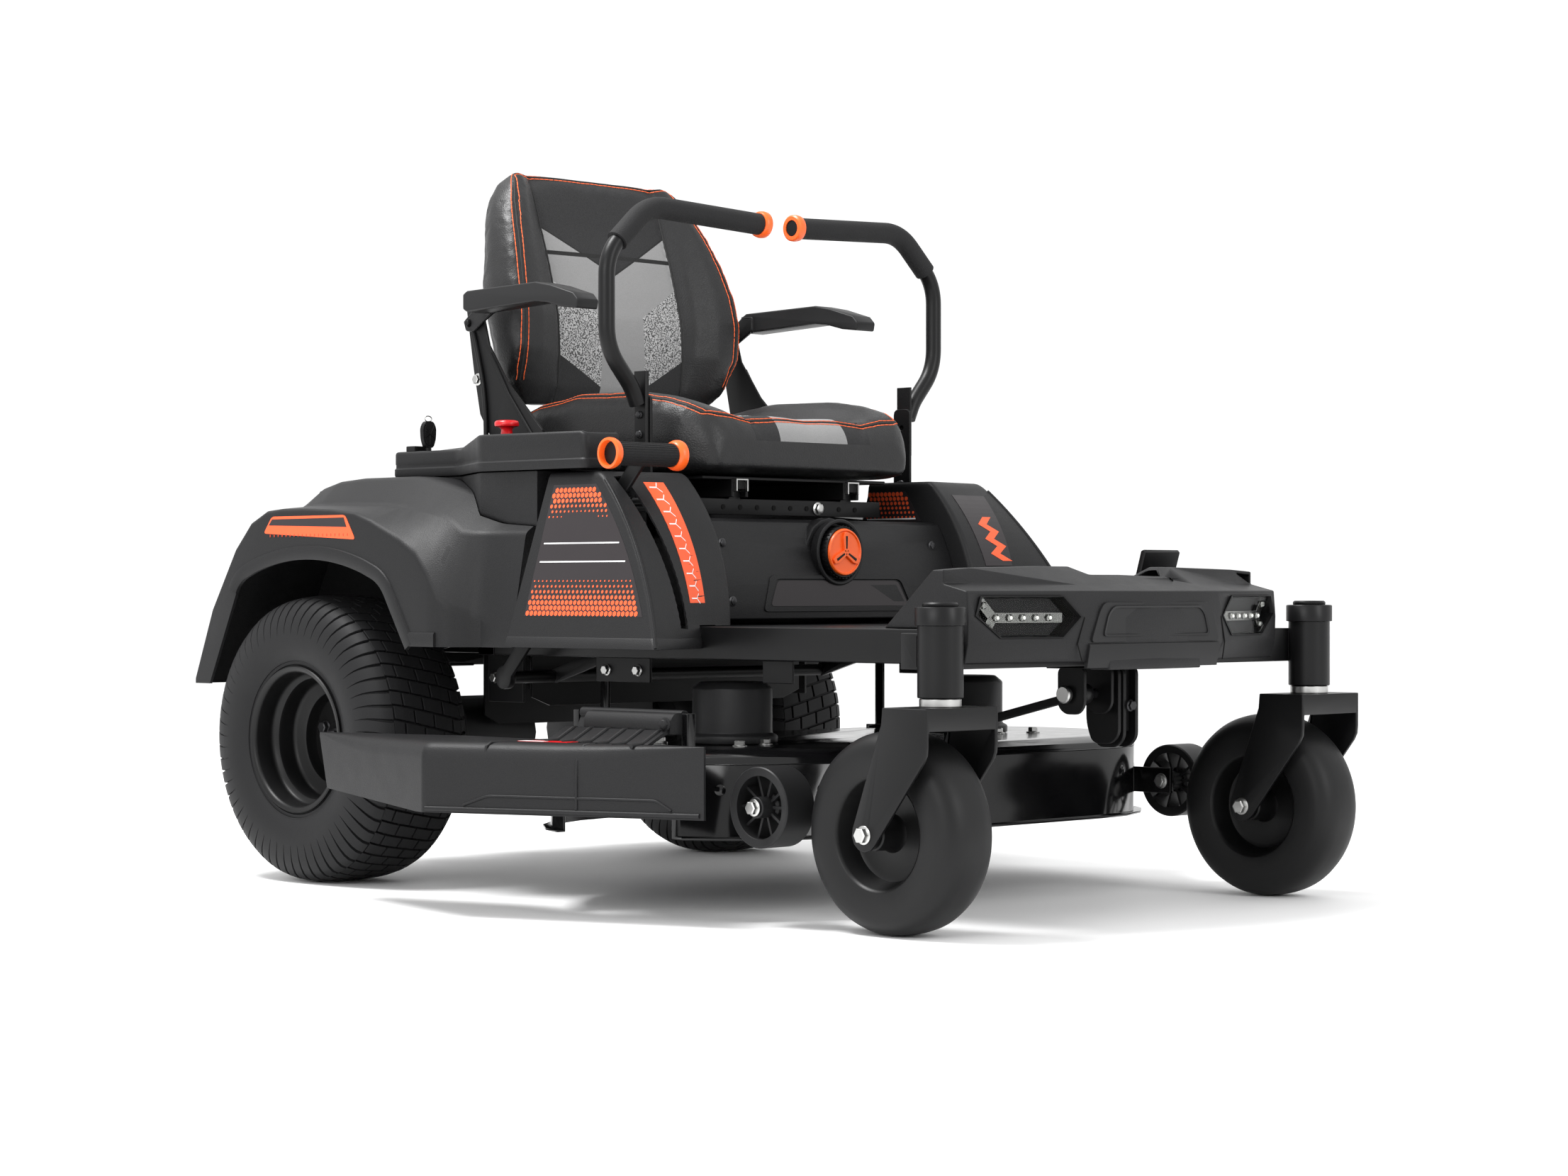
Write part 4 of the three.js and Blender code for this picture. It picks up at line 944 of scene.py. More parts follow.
def tyre_carcass():
    """The tyre with its shoulder slits; the tread bricks stand on its sunk crown."""
    half = [(0, 225, 0, 0, 1.0), (30, 225, 0, 0, 1.0), (65.5, 220.6, 0, 0, 1.0)] + list(SHOULDER)
    half += [(h, r, 90, 0, 0.2) for h, r in SIDEWALL]
    profile = [(-h, *rest) for h, *rest in reversed(half[1:])] + half
    rings = []
    for h, r, lean, depth, wide in profile:
        curl = max(0.0, (abs(h) - 67) / 33) ** 2 * 0.5
        out = 1 if h > 0 else -1
        slit = [(0.5 + reach * wide, sunk) for reach, sunk in ((-0.12, 0), (-0.06, 1), (0.06, 1), (0.12, 0))]
        ring = []
        for k in range(PITCHES):
            for part, sunk in [(0.0, 0), (0.2, 0)] + slit + [(0.8, 0)]:
                inward = sunk * depth * math.cos(math.radians(lean))
                sideways = sunk * depth * math.sin(math.radians(lean)) * out
                ring.append(on_wheel(r - inward, h - sideways, (k + part + curl) * PITCH))
        rings.append(ring)
    return loft(rings + rings[:1], caps=False)


def tread_bricks():
    """Slanted bricks across the crown, shifted by half a step on every other pitch."""
    made = Shape()
    for k in range(PITCHES):
        start = -TREAD_HALF - (k % 2) * BRICK_STEP / 2
        while start < TREAD_HALF:
            low, high = max(start, -TREAD_HALF), min(start + BRICK, TREAD_HALF)
            start += BRICK_STEP
            if high - low < BRICK_MIN:
                continue
            rings = []
            for step in range(4):
                h = low + (high - low) * step / 3
                skew = h * SLANT / AXLE_Z
                top = crown_radius(h)
                base = top - BRICK_DEPTH
                corners = ((base, 0.07), (base, 0.93), (top, 0.93), (top, 0.07))
                rings.append([on_wheel(r, h, (k + f) * PITCH + skew) for r, f in corners])
            made += loft(rings)
    return made


def rear_wheels():
    """Turf tyres on dished rims with five nuts, an axle nut and a valve."""
    dish = lathe(RIM_SECTION, WHEEL_CENTRE, "y", 96)
    # A thin near-black disc in the hub opening: painted shade where the dish is deep.
    dish += rod(71.5, -7.4, -7.9, WHEEL_CENTRE, "y", 48, paint=1)
    for x, z in ring_points(50, 5, (0, AXLE_Z), 90):
        dish += bolt((x, WHEEL_Y - 8, z), "y", 17, 9, 11, 1, paint=2)
    dish += bolt((0, WHEEL_Y + 8, AXLE_Z), "y", 24, 10, 16, 1, paint=2)
    valve = [(0, 0), (4, 0), (4, 14), (3, 15), (3, 24), (0, 24)]
    dish += lathe(valve, (86, WHEEL_Y + 16, AXLE_Z + 30), "y", 12, paint=1)
    carcass, bricks = tyre_carcass(), tread_bricks()
    for word, side in SIDES:
        body, tyre, rim = f"rear_wheel_{word}", f"rear_tyre_{word}", f"rear_rim_{word}"
        build(f"{tyre}_carcass", carcass.side(side), body, TYRE, stands_for=tyre,
              smooth=32)
        build(f"{tyre}_tread", bricks.side(side), body, TYRE, bevel=0.9, segments=1)
        build(f"{rim}_dish", dish.side(side), body, [RIM, SHADE_AND_VALVE_BLACK, DARK_ZINC], stands_for=rim,
              smooth=40)


# ---------------------------------------------------------------- casters and gauge wheels
CASTER_X, CASTER_Y, CASTER_R, TRAIL = 1295.5, 419, 139.7, 73
CASTER_HUB = (CASTER_X - TRAIL, CASTER_Y, CASTER_R)
CASTER_STEM = (CASTER_X, CASTER_Y, 0)
GAUGE = (1016, 459, 167)
GAUGE_SPOKES = 10


def casters():
    """Caster tyres, hubs, axle bolts and spacers, and the tubes and caps on the front beam."""
    half = [
        (79, 47), (84, 48.6), (95, 49.6), (106, 50), (117, 48.6), (126, 44.5), (133, 37), (137.4, 27),
        (139.2, 14),
    ]
    profile = half + [(CASTER_R, 0)] + [(r, -h) for r, h in reversed(half)]
    tyre = lathe(profile, CASTER_HUB, "y", 128, loop=True)
    dish = [
        (10.6, 57), (20, 57), (22, 55), (23, 22), (27, 17), (60, 14), (66, 17), (75, 42), (77, 46),
        (79.4, 47.4),
    ]
    hub = lathe(mirrored(dish), CASTER_HUB, "y", 80, loop=True)
    bolts = Shape()
    for out in (1, -1):
        bolts += bolt((CASTER_HUB[0], CASTER_Y + out * 72.5, CASTER_R), "y", 19, 9, 13, out)
    spacer = [(13, 312.3), (28, 312.3), (28.6, 313), (28.6, 322.6), (28, 323.3), (13, 323.3)]
    bolts += lathe(spacer, CASTER_STEM, "z", 48, loop=True)
    collar = [(31.2, 421), (34.7, 422), (34.7, 445), (33.8, 446.2), (30, 446.6), (30, 421)]
    sleeve = [(28, 324.2), (30.2, 324.2), (31.2, 325.2), (31.2, 421.5), (28, 421.5)]
    tube = lathe(collar, CASTER_STEM, "z", 64, loop=True) + lathe(sleeve, CASTER_STEM, "z", 64, loop=True)
    cap = lathe([
        (0, 441), (19, 441), (19, 446.6), (24.2, 446.8), (24.6, 447.4), (24.6, 450.6), (22.5, 452.8),
        (0, 453),
    ], CASTER_STEM, "z", 48)
    for word, side in SIDES:
        wheel = f"caster_wheel_{word}"
        build(f"caster_tyre_{word}_tread", tyre.side(side), wheel, CASTER_RUBBER,
              stands_for=f"caster_tyre_{word}", smooth=40)
        build(f"caster_hub_{word}_moulding", hub.side(side), wheel, RIM,
              stands_for=f"caster_hub_{word}", smooth=40)
        build(f"caster_bolts_{word}", bolts.side(side), f"caster_yoke_{word}", ZINC, bevel=0.4, segments=1,
              smooth=34)
        build(f"caster_tube_{word}", tube.side(side), "chassis", BLACK_STEEL, smooth=40)
        build(f"caster_cap_{word}_moulding", cap.side(side), "chassis", DARK_PLASTIC,
              stands_for=f"caster_cap_{word}", smooth=40)


def gauge_wheels():
    """Spoked anti-scalp rollers beside the deck, each on its bolt."""
    x, y, z = GAUGE
    wheel = mirrored([(6.8, 33), (14, 33), (15, 32), (15, 8), (20, 6)])
    ring = mirrored([(46, 6), (44, 26), (55, 28), (57, 26)])
    gauge = lathe(wheel, GAUGE, "y", 48, loop=True) + lathe(ring, GAUGE, "y", 72, loop=True)
    for k in range(GAUGE_SPOKES):
        spoke = block(13, 47, -2, 2, -14, 14).turned("X", 90).turned("Y", 360 / GAUGE_SPOKES * k)
        gauge += spoke.moved(*GAUGE)
    pin = bolt((x, y + 35, z), "y", 17, 8, 12, 1) + bolt((x, y - 47, z), "y", 17, 6, 12, -1)
    for word, side in SIDES:
        build(f"gauge_wheel_{word}_moulding", gauge.side(side), f"gauge_roller_{word}", SMOOTH_PLASTIC,
              bevel=0.7, stands_for=f"gauge_wheel_{word}")
        build(f"gauge_bolt_{word}", pin.side(side), "deck", ZINC, bevel=0.3, segments=1)


# ---------------------------------------------------------------- lap bars, grips and the height lever
ARM_X, ARM_Y, SWING_Z = 571, 291, 604
BAR = ((571, 304, 752), (571, 316, 778), (571, 367, 836), (571, 367, 978), (571, 282, 1056), (571, 34, 1046))
GRIP = ((571, 345.5, 997.7), (571, 282, 1056), (571, 34, 1046))
GRIP_END, GRIP_TILT = (571, 44, 1046.4), 2.3
BEND = 34
LEVER_GRIP = (691, -402, 669.5)
LEVER_RIBS = 28


def lap_bars():
    """Bent tubes on perforated straps, with foam grips, an orange end ring and a plug."""
    tube = sweep(bend_path(BAR, BEND, 10), 12.7, 32)
    tube += pipe(3.9, 6.5, -21.5, 21.5, (ARM_X, ARM_Y, SWING_Z), "x")
    strap = slab(soften([(553, 604), (589, 604), (589, 767), (553, 767)], 10), "xz", 288.5, 293.5)
    channel = [(556, 297), (556, 293.4), (586, 293.4), (586, 297), (583, 299), (559, 299)]
    strap += slab(channel, "xy", 690, 803)
    studs = Shape()
    for z in (706, 736):
        studs += bolt((ARM_X, 299, z), "y", 9, 3, 6, 1)
    for z in (622, 642):
        studs += bolt((ARM_X, 288.5, z), "y", 12, 5, 8, -1)
    foam = sweep(bend_path(GRIP, BEND, 12), 17, 32)
    ring = [(13, -14), (18.5, -14), (20.8, -12), (21.4, -6.5), (20.6, -1), (18.4, 1), (13, 1)]
    ring = lathe(ring, steps=48, loop=True).turned("X", GRIP_TILT).moved(*GRIP_END)
    plug = [(0, -9), (12.4, -9), (12.8, -11.5), (12.6, -12.6), (9, -13), (0, -13)]
    plug = lathe(plug, GRIP_END, "y", 32)
    for word, side in SIDES:
        body, bar, grip = f"lap_bar_assembly_{word}", f"lap_bar_{word}", f"lap_bar_grip_{word}"
        build(f"{bar}_tube", tube.side(side), body, BLACK_STEEL, stands_for=bar,
              smooth=40)
        holed = build(f"{bar}_strap", strap.side(side), body, BLACK_STEEL)
        carve(holed, *(rod(4.2, 270, 293.2, (ARM_X, 0, z), "y", 20).side(side) for z in (663, 678, 706, 736)))
        dress(holed, 0.8)
        build(f"{bar}_bolts", studs.side(side), body, DARK_ZINC)
        build(f"{grip}_foam", foam.side(side), body, FOAM, stands_for=grip, smooth=50)
        build(f"{grip}_rings", ring.side(side), body, ORANGE, smooth=40)
        build(f"{bar}_plug", plug.side(side), body, DARK_PLASTIC, smooth=40)


def height_lever_grip():
    """A ribbed foam grip with flared orange rings at both ends."""
    grip = pipe(9.4, 17.2, -60, 60, LEVER_GRIP, "y", 48)
    for k in range(LEVER_RIBS):
        rib = block(-0.8, 0.8, -54, 54, -0.5, 0.5).moved(0, 0, 17.3)
        grip += rib.turned("Y", 360 * k / LEVER_RIBS).moved(*LEVER_GRIP)
    build("height_grip_body", grip, "height_control", FOAM, stands_for="height_lever_grip",
          smooth=40)
    flare = (
        (15, 57), (18.6, 57), (21, 59.5), (22.9, 64), (23.2, 69), (22.6, 71.6), (21, 72.4), (18.8, 72),
        (18, 70), (17.6, 58),
    )
    flares, ends = Shape(), Shape()
    for out in (1, -1):
        flares += lathe([(r, h * out) for r, h in flare], LEVER_GRIP, "y", 48, loop=True)
        ends += rod(17.8, 62 * out, 59 * out, LEVER_GRIP, "y", 32)
    build("height_grip_rings", flares, "height_control", ORANGE, smooth=40)
    build("height_grip_ends", ends, "height_control", DARK_PLASTIC, smooth=40)


# ---------------------------------------------------------------- control pods
POD_IN, POD_LOW, POD_HIGH = 274, 383, 646
SCALE_TOP, SCALE_FOOT, SCALE_STEPS = 630, 450, 24
# The lever's slot follows the lever's turn about the lift shaft: radius, first and last angle.
LIFT_X, LIFT_Z, SLOT_R, SLOT_FIRST, SLOT_LAST = 375, 334, 480, 11, 49.4
SHELL_ANGLE = 38


def inner_front(z):
    return 452 + math.sqrt(295 ** 2 - (z - 425) ** 2)


def outer_front(z):
    return 229 + math.sqrt(621 ** 2 - (z - 166) ** 2)


def pod_reach(z):
    return 490 - (z - POD_LOW) * 63 / (POD_HIGH - POD_LOW)


def pod_rear(z):
    return 479 + (z - POD_LOW) * 32 / (POD_HIGH - POD_LOW)


def pod_ring(z, inset, radius, back=0.0):
    """The pod's outline at one height, moved in by inset and drawn back at the rear."""
    rear, near, far = pod_rear(z) - back, inner_front(z) - inset, outer_front(z) - inset
    reach = pod_reach(z) - inset
    a, b, c, d = (rear, POD_IN + inset), (near, POD_IN + inset), (far, reach), (rear, reach)
    return [(x, y, z) for x, y in [a] + corner_run(a, b, c, radius) + corner_run(b, c, d, radius) + [d]]


def control_pods():
    """Hollow moulded pods beside the seat, the right one with the height lever's slot."""
    outer = [pod_ring(z, 0, 9) for z in [POD_LOW, 384] + list(range(395, 636, 12)) + [638]]
    outer += [pod_ring(z, inset, 9) for z, inset in ((642, 0.8), (645, 2.6), (POD_HIGH, 5.5))]
    inner = [pod_ring(z, 4, 6, 40) for z in [POD_LOW] + list(range(395, 636, 20)) + [641]]
    inner = [[(x, y, 350) for x, y, _ in inner[0]]] + inner
    rim = [(outer_front(z) - 1.5, pod_reach(z) - 1.5, z) for z in range(POD_LOW + 2, 640, 8)]
    hem = [pod_ring(POD_LOW + h, -g, 9) for h, g in ((0.4, 0.6), (0.4, 1.4), (15, 1.4), (17, -0.5))]
    ridge = sweep(rim, 2.6, 10) + loft(hem, caps=False)
    for word, side in SIDES:
        pod = build(f"control_pod_{word}_shell", loft(outer).side(side), "chassis", GRAINED,
                    stands_for=f"control_pod_{word}", smooth=SHELL_ANGLE)
        cuts = [loft(inner), block(521, 621, 281, 328, 600, 660), block(470, 830, 320, 362, 360, 417.7),
                block(470, 830, 200, 322, 360, 416.7)]
        if side < 0:
            run = [(LIFT_X, LIFT_Z)] + arc((LIFT_X, LIFT_Z), SLOT_R, SLOT_FIRST, SLOT_LAST, 16)
            cuts.append(slab(run, "xz", 393, 411))
        carve(pod, *(c.side(side) for c in cuts))
        dress(pod, smooth=SHELL_ANGLE)
        build(f"control_pod_{word}_ridge", ridge.side(side), "chassis", GRAINED,
              smooth=50)
    right_pod_prints()
    left_pod_prints()


def pod_side(x, z, lift):
    """A point lifted off the right pod's leaning outer face."""
    return (x, -(pod_reach(z) + lift), z)


def pod_front(y, z, lift):
    """A point lifted off a pod's front, drawn on the right, from its sideways reach and height."""
    share = (y - POD_IN) / (pod_reach(z) - POD_IN)
    x = inner_front(z) * (1 - share) + outer_front(z) * share
    return (x + lift, -y, z + lift * 0.5)


def pod_inside(x, z, lift):
    return (x, POD_IN - lift, z)


def decal_front(z):
    return outer_front(z) - 26 + 6 * (628 - z) / 197


def decal_rear(z):
    return 511 + (z - 429) * 14 / 198


def decal_band(rows, lift, paint):
    """A plate 0.6 mm thick on the right pod's outer face, from rows of height, rear and front."""
    rings = []
    for z, x0, x1 in rows:
        rings.append([pod_side(x0, z, lift), pod_side(x1, z, lift), pod_side(x1, z, lift - 0.6),
                      pod_side(x0, z, lift - 0.6)])
    return loft(rings, paint=paint)


def hexagon(x, z, radius):
    return ring_points(radius, 6, (x, z), 30)


def dot_size(x, z):
    """A dot's radius on the decal: full at the foot and top, fading to nothing at mid height."""
    low, high = 1 - (z - 434) / 66, 1 - (624 - z) / 50
    share = max(low, high)
    if share <= -0.35:
        return 0
    edge = abs((x - decal_rear(z)) / (decal_front(z) - decal_rear(z)) - 0.5) * 2
    return 4.15 * min(1.0, share * 1.25 + (0.28 * edge if high > -0.3 and low < 0 else 0.0))


def right_pod_prints():
    """A dark decal with hexagon dots and two thin rules, and the ticked scale beside the slot."""
    heights = [430 + 197 * k / 24 for k in range(25)]
    made = decal_band([(z, decal_rear(z), decal_front(z)) for z in heights], 0.35, 0)
    for row in range(24):
        z = 434.5 + 8.0 * row
        x = decal_rear(z) + 6 + (row % 2) * 4.6
        while x < decal_front(z) - 5:
            size = dot_size(x, z)
            if size > 1.0:
                made += plate(pod_side, hexagon(x, z, size), 0.4, 0.75, 1)
            x += 9.2
    for z in (538.8, 511.2):
        ends = (decal_rear(z) + 8, decal_front(z) - 9)
        made += decal_band([(z - 1, *ends), (z + 1, *ends)], 0.8, 2)
    for k in range(SCALE_STEPS):
        (z0, y0), (z1, y1) = ((
            SCALE_FOOT + (SCALE_TOP - SCALE_FOOT) * step / SCALE_STEPS, 341 - 11 * step / SCALE_STEPS,
        ) for step in (k, k + 1))
        made += plate(pod_front, [(y0, z0), (y0 + 36, z0), (y1 + 36, z1), (y1, z1)], -0.4, 0.5, 3)
    for k in range(10):
        z, y = 622 - 18.4 * k, 351 + 1.0 * k
        tick = [(y - 2, z - 0.9), (y + 11, z - 0.9), (y + 11, z + 0.9), (y - 2, z + 0.9)]
        made += plate(pod_front, tick, 0.2, 0.9, 2)
        for up in (7, -7):
            arrow = [(y - 1, z - 0.8), (y - 7, z + up - 0.8), (y - 7, z + up + 0.8), (y - 1, z + 0.8)]
            made += plate(pod_front, arrow, 0.2, 0.9, 2)
    build("control_pod_right_prints", made, "chassis", [DECAL, PRINT, WHITE, PRINT],
          smooth=50)


def left_pod_prints():
    """A dotted decal on the left pod's inner face and a zigzag strip on its front."""
    made = plate(pod_inside, ((496, 582), (511, 631), (593, 631), (627, 582)), 0.1, 0.5)
    for row in range(6):
        z = 626.5 - row * 7.6
        x = 514 - row * 2.2 + (row % 2) * 4.4
        while x < 591 + row * 5:
            made += plate(pod_inside, hexagon(x, z, 4.0 - row * 0.42), 0.4, 0.8, 1)
            x += 8.8
    made += plate(pod_inside, ((507, 584.6), (616, 584.6), (616, 586.8), (507, 586.8)), 0.4, 0.8, 2)
    strip = Shape()
    for k in range(16):
        (z0, y0, w0), (z1, y1, w1) = (
            (508 + 116 * step / 16, 310 - 3 * step / 16, 370 + 30 * step / 16) for step in (k, k + 1))
        strip += plate(pod_front, [(y0, z0), (w0, z0), (w1, z1), (y1, z1)], -0.35, 0.45)
    for z in (528, 552, 576):
        for quad in ([(330, z), (352, z + 12), (374, z + 12), (352, z)],
                     [(330, z), (352, z), (374, z - 12), (352, z - 12)]):
            strip += plate(pod_front, quad, 0.25, 0.85, 1)
    build("control_pod_left_prints", made + strip.side(-1), "chassis", [DECAL, PRINT, WHITE],
          smooth=50)


# ---------------------------------------------------------------- fenders
# Along the machine: outer reach, shoulder, ledge reach, ledge height, hump height, lowest edge.
FENDER = (
    (-272, 520, 326, 440, 332, 336, 315), (-225, 520, 440, 440, 452, 462, 315),
    (-162, 520, 536, 440, 560, 575, 315), (-120, 520, 578, 440, 590, 614, 315),
    (-79, 520, 596, 440, 604, 637, 315), (-40, 520, 599, 440, 606, 646, 330),
    (20, 520, 599, 440, 606, 650, 345), (90, 520, 596, 442, 605, 650, 370),
    (150, 520, 590, 445, 603, 650, 382), (190, 520, 577, 450, 601, 647, 382),
    (224, 520, 562, 455, 598, 640, 382), (262, 520, 546, 460, 592, 631, 382),
    (300, 520, 525, 462, 585, 622, 382), (328, 520, 494, 465, 573, 613, 382),
    (351, 518, 458, 468, 560, 604, 382), (372, 505, 440, 464, 557, 599, 382),
    (388, 486, 433, 458, 556, 595, 382), (404, 474, 430, 452, 556, 592, 382),
    (440, 474, 414, 449, 556, 589, 382), (477, 474, 400, 446, 556, 586, 382),
)
FENDER_IN, FENDER_WALL, HUMP_Y = 300, 5, 400
# How far the hollow is drawn in at the fender's first and last sections.
END_WALLS = {0: 5, len(FENDER) - 1: 12}
# The lip's section round the wheel arch: away from the arch, across.
LIP = ((0, 515), (-0.6, 521.6), (1.5, 523.2), (17, 523.2), (20.5, 522.4), (22, 519.6))
LIP_FOOT = 318
FOOT = ((514, 382.4), (522.6, 382.4), (523, 384), (523, 401), (521, 404), (514, 404))
# The console bin along the machine: outer reach and floor height.
BIN = (
    (60, 346, 650), (120, 346, 634), (180, 346, 617), (206, 346, 611.4), (300, 400, 591.4), (352, 430, 580.4),
    (415, 430, 567), (484, 430, 562),
)
BIN_IN = 304


def fender_ring(row, inset=0.0, shift=0.0):
    """One section across the fender: outer wall, shoulder, ledge and hump."""
    x, reach, shoulder, ledge, ledge_z, hump, low = row
    bottom = low - 60 if inset else low
    a, b, c = (FENDER_IN + inset, bottom), (reach - inset, bottom), (reach - inset, shoulder - inset)
    d, e, f = (ledge, ledge_z - inset), (HUMP_Y, hump - inset), (FENDER_IN + inset, hump - inset)
    run = [a, b]
    for p, q, r, radius in ((b, c, d, 8), (c, d, e, 7), (d, e, f, 9)):
        radius = min(radius, (Vector(p) - Vector(q)).length * 0.4, (Vector(r) - Vector(q)).length * 0.4)
        run += corner_run(p, q, r, max(radius, 0.5), 4)
    return [(x + shift, y, z) for y, z in run + [f]]


def arch_line():
    """The wheel arch from the rear, over the tyre, to the foot in front of it, as x and z."""
    rear = bend_path([(-245, 0, 290), (-150, 0, 482), (-110, 0, 496.5)], 34, 6)
    front = bend_path([(170, 0, 496.5), (216, 0, 480), (281, 0, 377)], 34, 6)
    crown = [Vector((x, 0, z)) for x, z in arc((30, 51), 467, 106, 74, 14)]
    return [Vector((p.x, p.z)) for p in rear + crown + front]


def bin_loft(grow, top=660):
    """The console bin as a solid, grown by a margin on every side."""
    ends = {0: -grow, len(BIN) - 1: grow}
    rings = []
    for i, (x, out, low) in enumerate(BIN):
        x += ends.get(i, 0)
        low -= grow
        a, b, c, d = (grow - BIN_IN, low), (-out - grow, low), (-out - grow, top), (grow - BIN_IN, top)
        rings.append([(x, y, z) for y, z in [a] + corner_run(a, b, c, 10 if low < top - 24 else 2) + [c, d]])
    return loft(rings)


def fender_lip(line):
    """A rolled lip round the wheel arch and a thick edge along the fender's foot."""
    band = []
    for i, p in enumerate(line):
        if p.y < LIP_FOOT:
            continue
        along = (line[min(i + 1, len(line) - 1)] - line[max(i - 1, 0)]).normalized()
        band.append([(p.x - along.y * w, y, p.y + along.x * w) for w, y in LIP])
    return loft(band) + loft([[(x, y, z) for y, z in FOOT] for x in (279, 330, 350)])


def fender_label():
    """A lozenge label with a dark wedge and a row of small diamonds."""
    outline = soften([(-84, 560), (-62, 587), (129, 587), (155, 548)], 7, 4)
    wedge = [(-70, 573), (-61, 582.5), (126, 583), (133, 568)]
    label = slab(outline, "xz", 519.5, 520.5) + slab(wedge, "xz", 520.2, 520.8, paint=1)
    for k in range(20):
        x = -66 + k * 10.6
        label += slab([(x - 1.2, 556), (x, 553.5), (x + 1.2, 556), (x, 558.5)], "xz", 520.2, 520.75, paint=2)
    return label


def fenders():
    """Hollow fenders over the rear wheels, with lips and labels."""
    line = arch_line()
    outer = loft([fender_ring(row) for row in FENDER])
    inner = [fender_ring(row, FENDER_WALL, END_WALLS.get(i, 0)) for i, row in enumerate(FENDER)]
    mouth = [tuple(p) for p in line] + [(279, 280)]
    cuts = [loft(inner), slab(mouth, "xz", 420, 540), block(200, 500, 316, 366, 360, 419.7),
            block(255, 307, 290, 366, 360, 419.7)]
    lip, label = fender_lip(line), fender_label()
    for word, side in SIDES:
        shell = build(f"fender_{word}_shell", outer.side(side), "chassis", GRAINED,
                      stands_for=f"fender_{word}", smooth=36)
        carve(shell, *(c.side(side) for c in cuts))
        if side < 0:
            carve(shell, bin_loft(2.0))
        dress(shell, smooth=36)
        build(f"fender_{word}_lip", lip.side(side), "chassis", GRAINED, smooth=40)
        build(f"fender_{word}_label", label.side(side), "chassis", [PRINT, DECAL, RUST],
              smooth=30)


# ---------------------------------------------------------------- cowl and lamps
LAMP = ((193, 460), (328, 460), (336, 434), (296, 404), (193, 404), (163, 432))
LAMP_Y, LAMP_Z = 250, 432
# The reflector's bars from their meeting point, half their width, and the emitters beside them.
BAR_STARTS, BAR_ENDS, BAR_HALF = (300, 431), ((184, 431), (322, 455), (313, 411)), 7
MAIN_CELLS = ((296, 431), (274, 431), (252, 431), (230, 431), (208, 431))
SIDE_CELLS = ((316, 448), (309, 417))


def cowl_front(y, z):
    y = abs(y)
    front = 1335 - 8 * y / 149 if y < 149 else 1327 - 34 * (y - 149) / 151
    return front + (3 if z < 440 else 3 - 3 * (z - 440) / 28)


def lamp_ring(depth, scale):
    """The lamp's outline at a depth behind the cowl's face, scaled about its middle."""
    ring = []
    for y, z in LAMP:
        y = LAMP_Y + (y - LAMP_Y) * scale
        ring.append((cowl_front(y, LAMP_Z) - depth, y, LAMP_Z + (z - LAMP_Z) * scale))
    return ring


def cowl_face(y, z, lift):
    return (cowl_front(y, 430) + lift, y, z)


def front_cowl():
    """The cowl's shell, its raised centre with a frame, painted shade along its seams, and both lamps."""
    refine("front_cowl", GRAINED, 2.2, 3, 24)
    panel = [(-118, 452), (118, 452), (128, 440), (146, 396), (-146, 396), (-128, 440)]
    centre = plate(cowl_face, soften(panel, 8, 3), -3, 3.0)
    inset = soften([(-100, 447), (100, 447), (112, 436), (122, 404), (-122, 404), (-112, 436)], 7, 3)
    edge_out = [cowl_face(y, z, 4.4) for y, z in inset]
    edge_in = [(cowl_front(y, 430) + 3.6, y * 0.965, 425 + (z - 425) * 0.86) for y, z in inset]
    behind_out, behind_in = ([(x - 3, y, z) for x, y, z in edge] for edge in (edge_out, edge_in))
    centre += loft([behind_out, edge_out, edge_in, behind_in], caps=False)
    band = ((2.6, 394), (3.6, 391), (-2.2, 360), (-8, 360), (-8, 394))
    centre += loft([[(cowl_front(y, 394) - 1.2 + s, y, z) for s, z in band] for y in (-148, -75, 0, 75, 148)])
    build("front_cowl_centre", centre, "chassis", SMOOTH_PLASTIC, bevel=0.5, segments=1)
    # Thin near-black tubes along the cowl's seams: painted shade in the gaps between the panels.
    shaded_seams = Shape()
    for side in (1, -1):
        run = ((150, 470, -24), (156, 430, 0.2), (168, 394, 0.2), (160, 369, 0.2))
        shaded_seams += sweep([(cowl_front(y, z) + lift, side * y, z) for y, z, lift in run], 0.9, 6)
    build("front_cowl_shaded_seams", shaded_seams, "chassis", SHADE_AND_VALVE_BLACK)
    headlights()


def reflector():
    """Raised bars that meet in a point, with faceted emitters along them."""
    made = Shape()
    a = Vector(BAR_STARTS)
    for end in BAR_ENDS:
        b = Vector(end)
        along = (b - a).normalized()
        out = Vector((-along.y, along.x)) * BAR_HALF
        quad = [(cowl_front(p.x, LAMP_Z), p.x, p.y) for p in (a + out, a - out, b - out, b + out)]
        for depths in ((19, 11), (11, 10.6)):
            made += loft([[(x - depth, y, z) for x, y, z in quad] for depth in depths])
    for cells, waist in ((MAIN_CELLS, 4.2), (SIDE_CELLS, 3.8)):
        for y, z in cells:
            place = (cowl_front(y, LAMP_Z) - 11, y, z)
            made += lathe([(0, 0), (5.4, 0), (5.8, 2.5), (waist, 4), (0, 4.6)], place, "x", 6, paint=1)
            if cells is MAIN_CELLS:
                made += lathe([(0, 4), (2.6, 4), (2.4, 5.6), (0, 6)], place, "x", 12, paint=2)
    return made


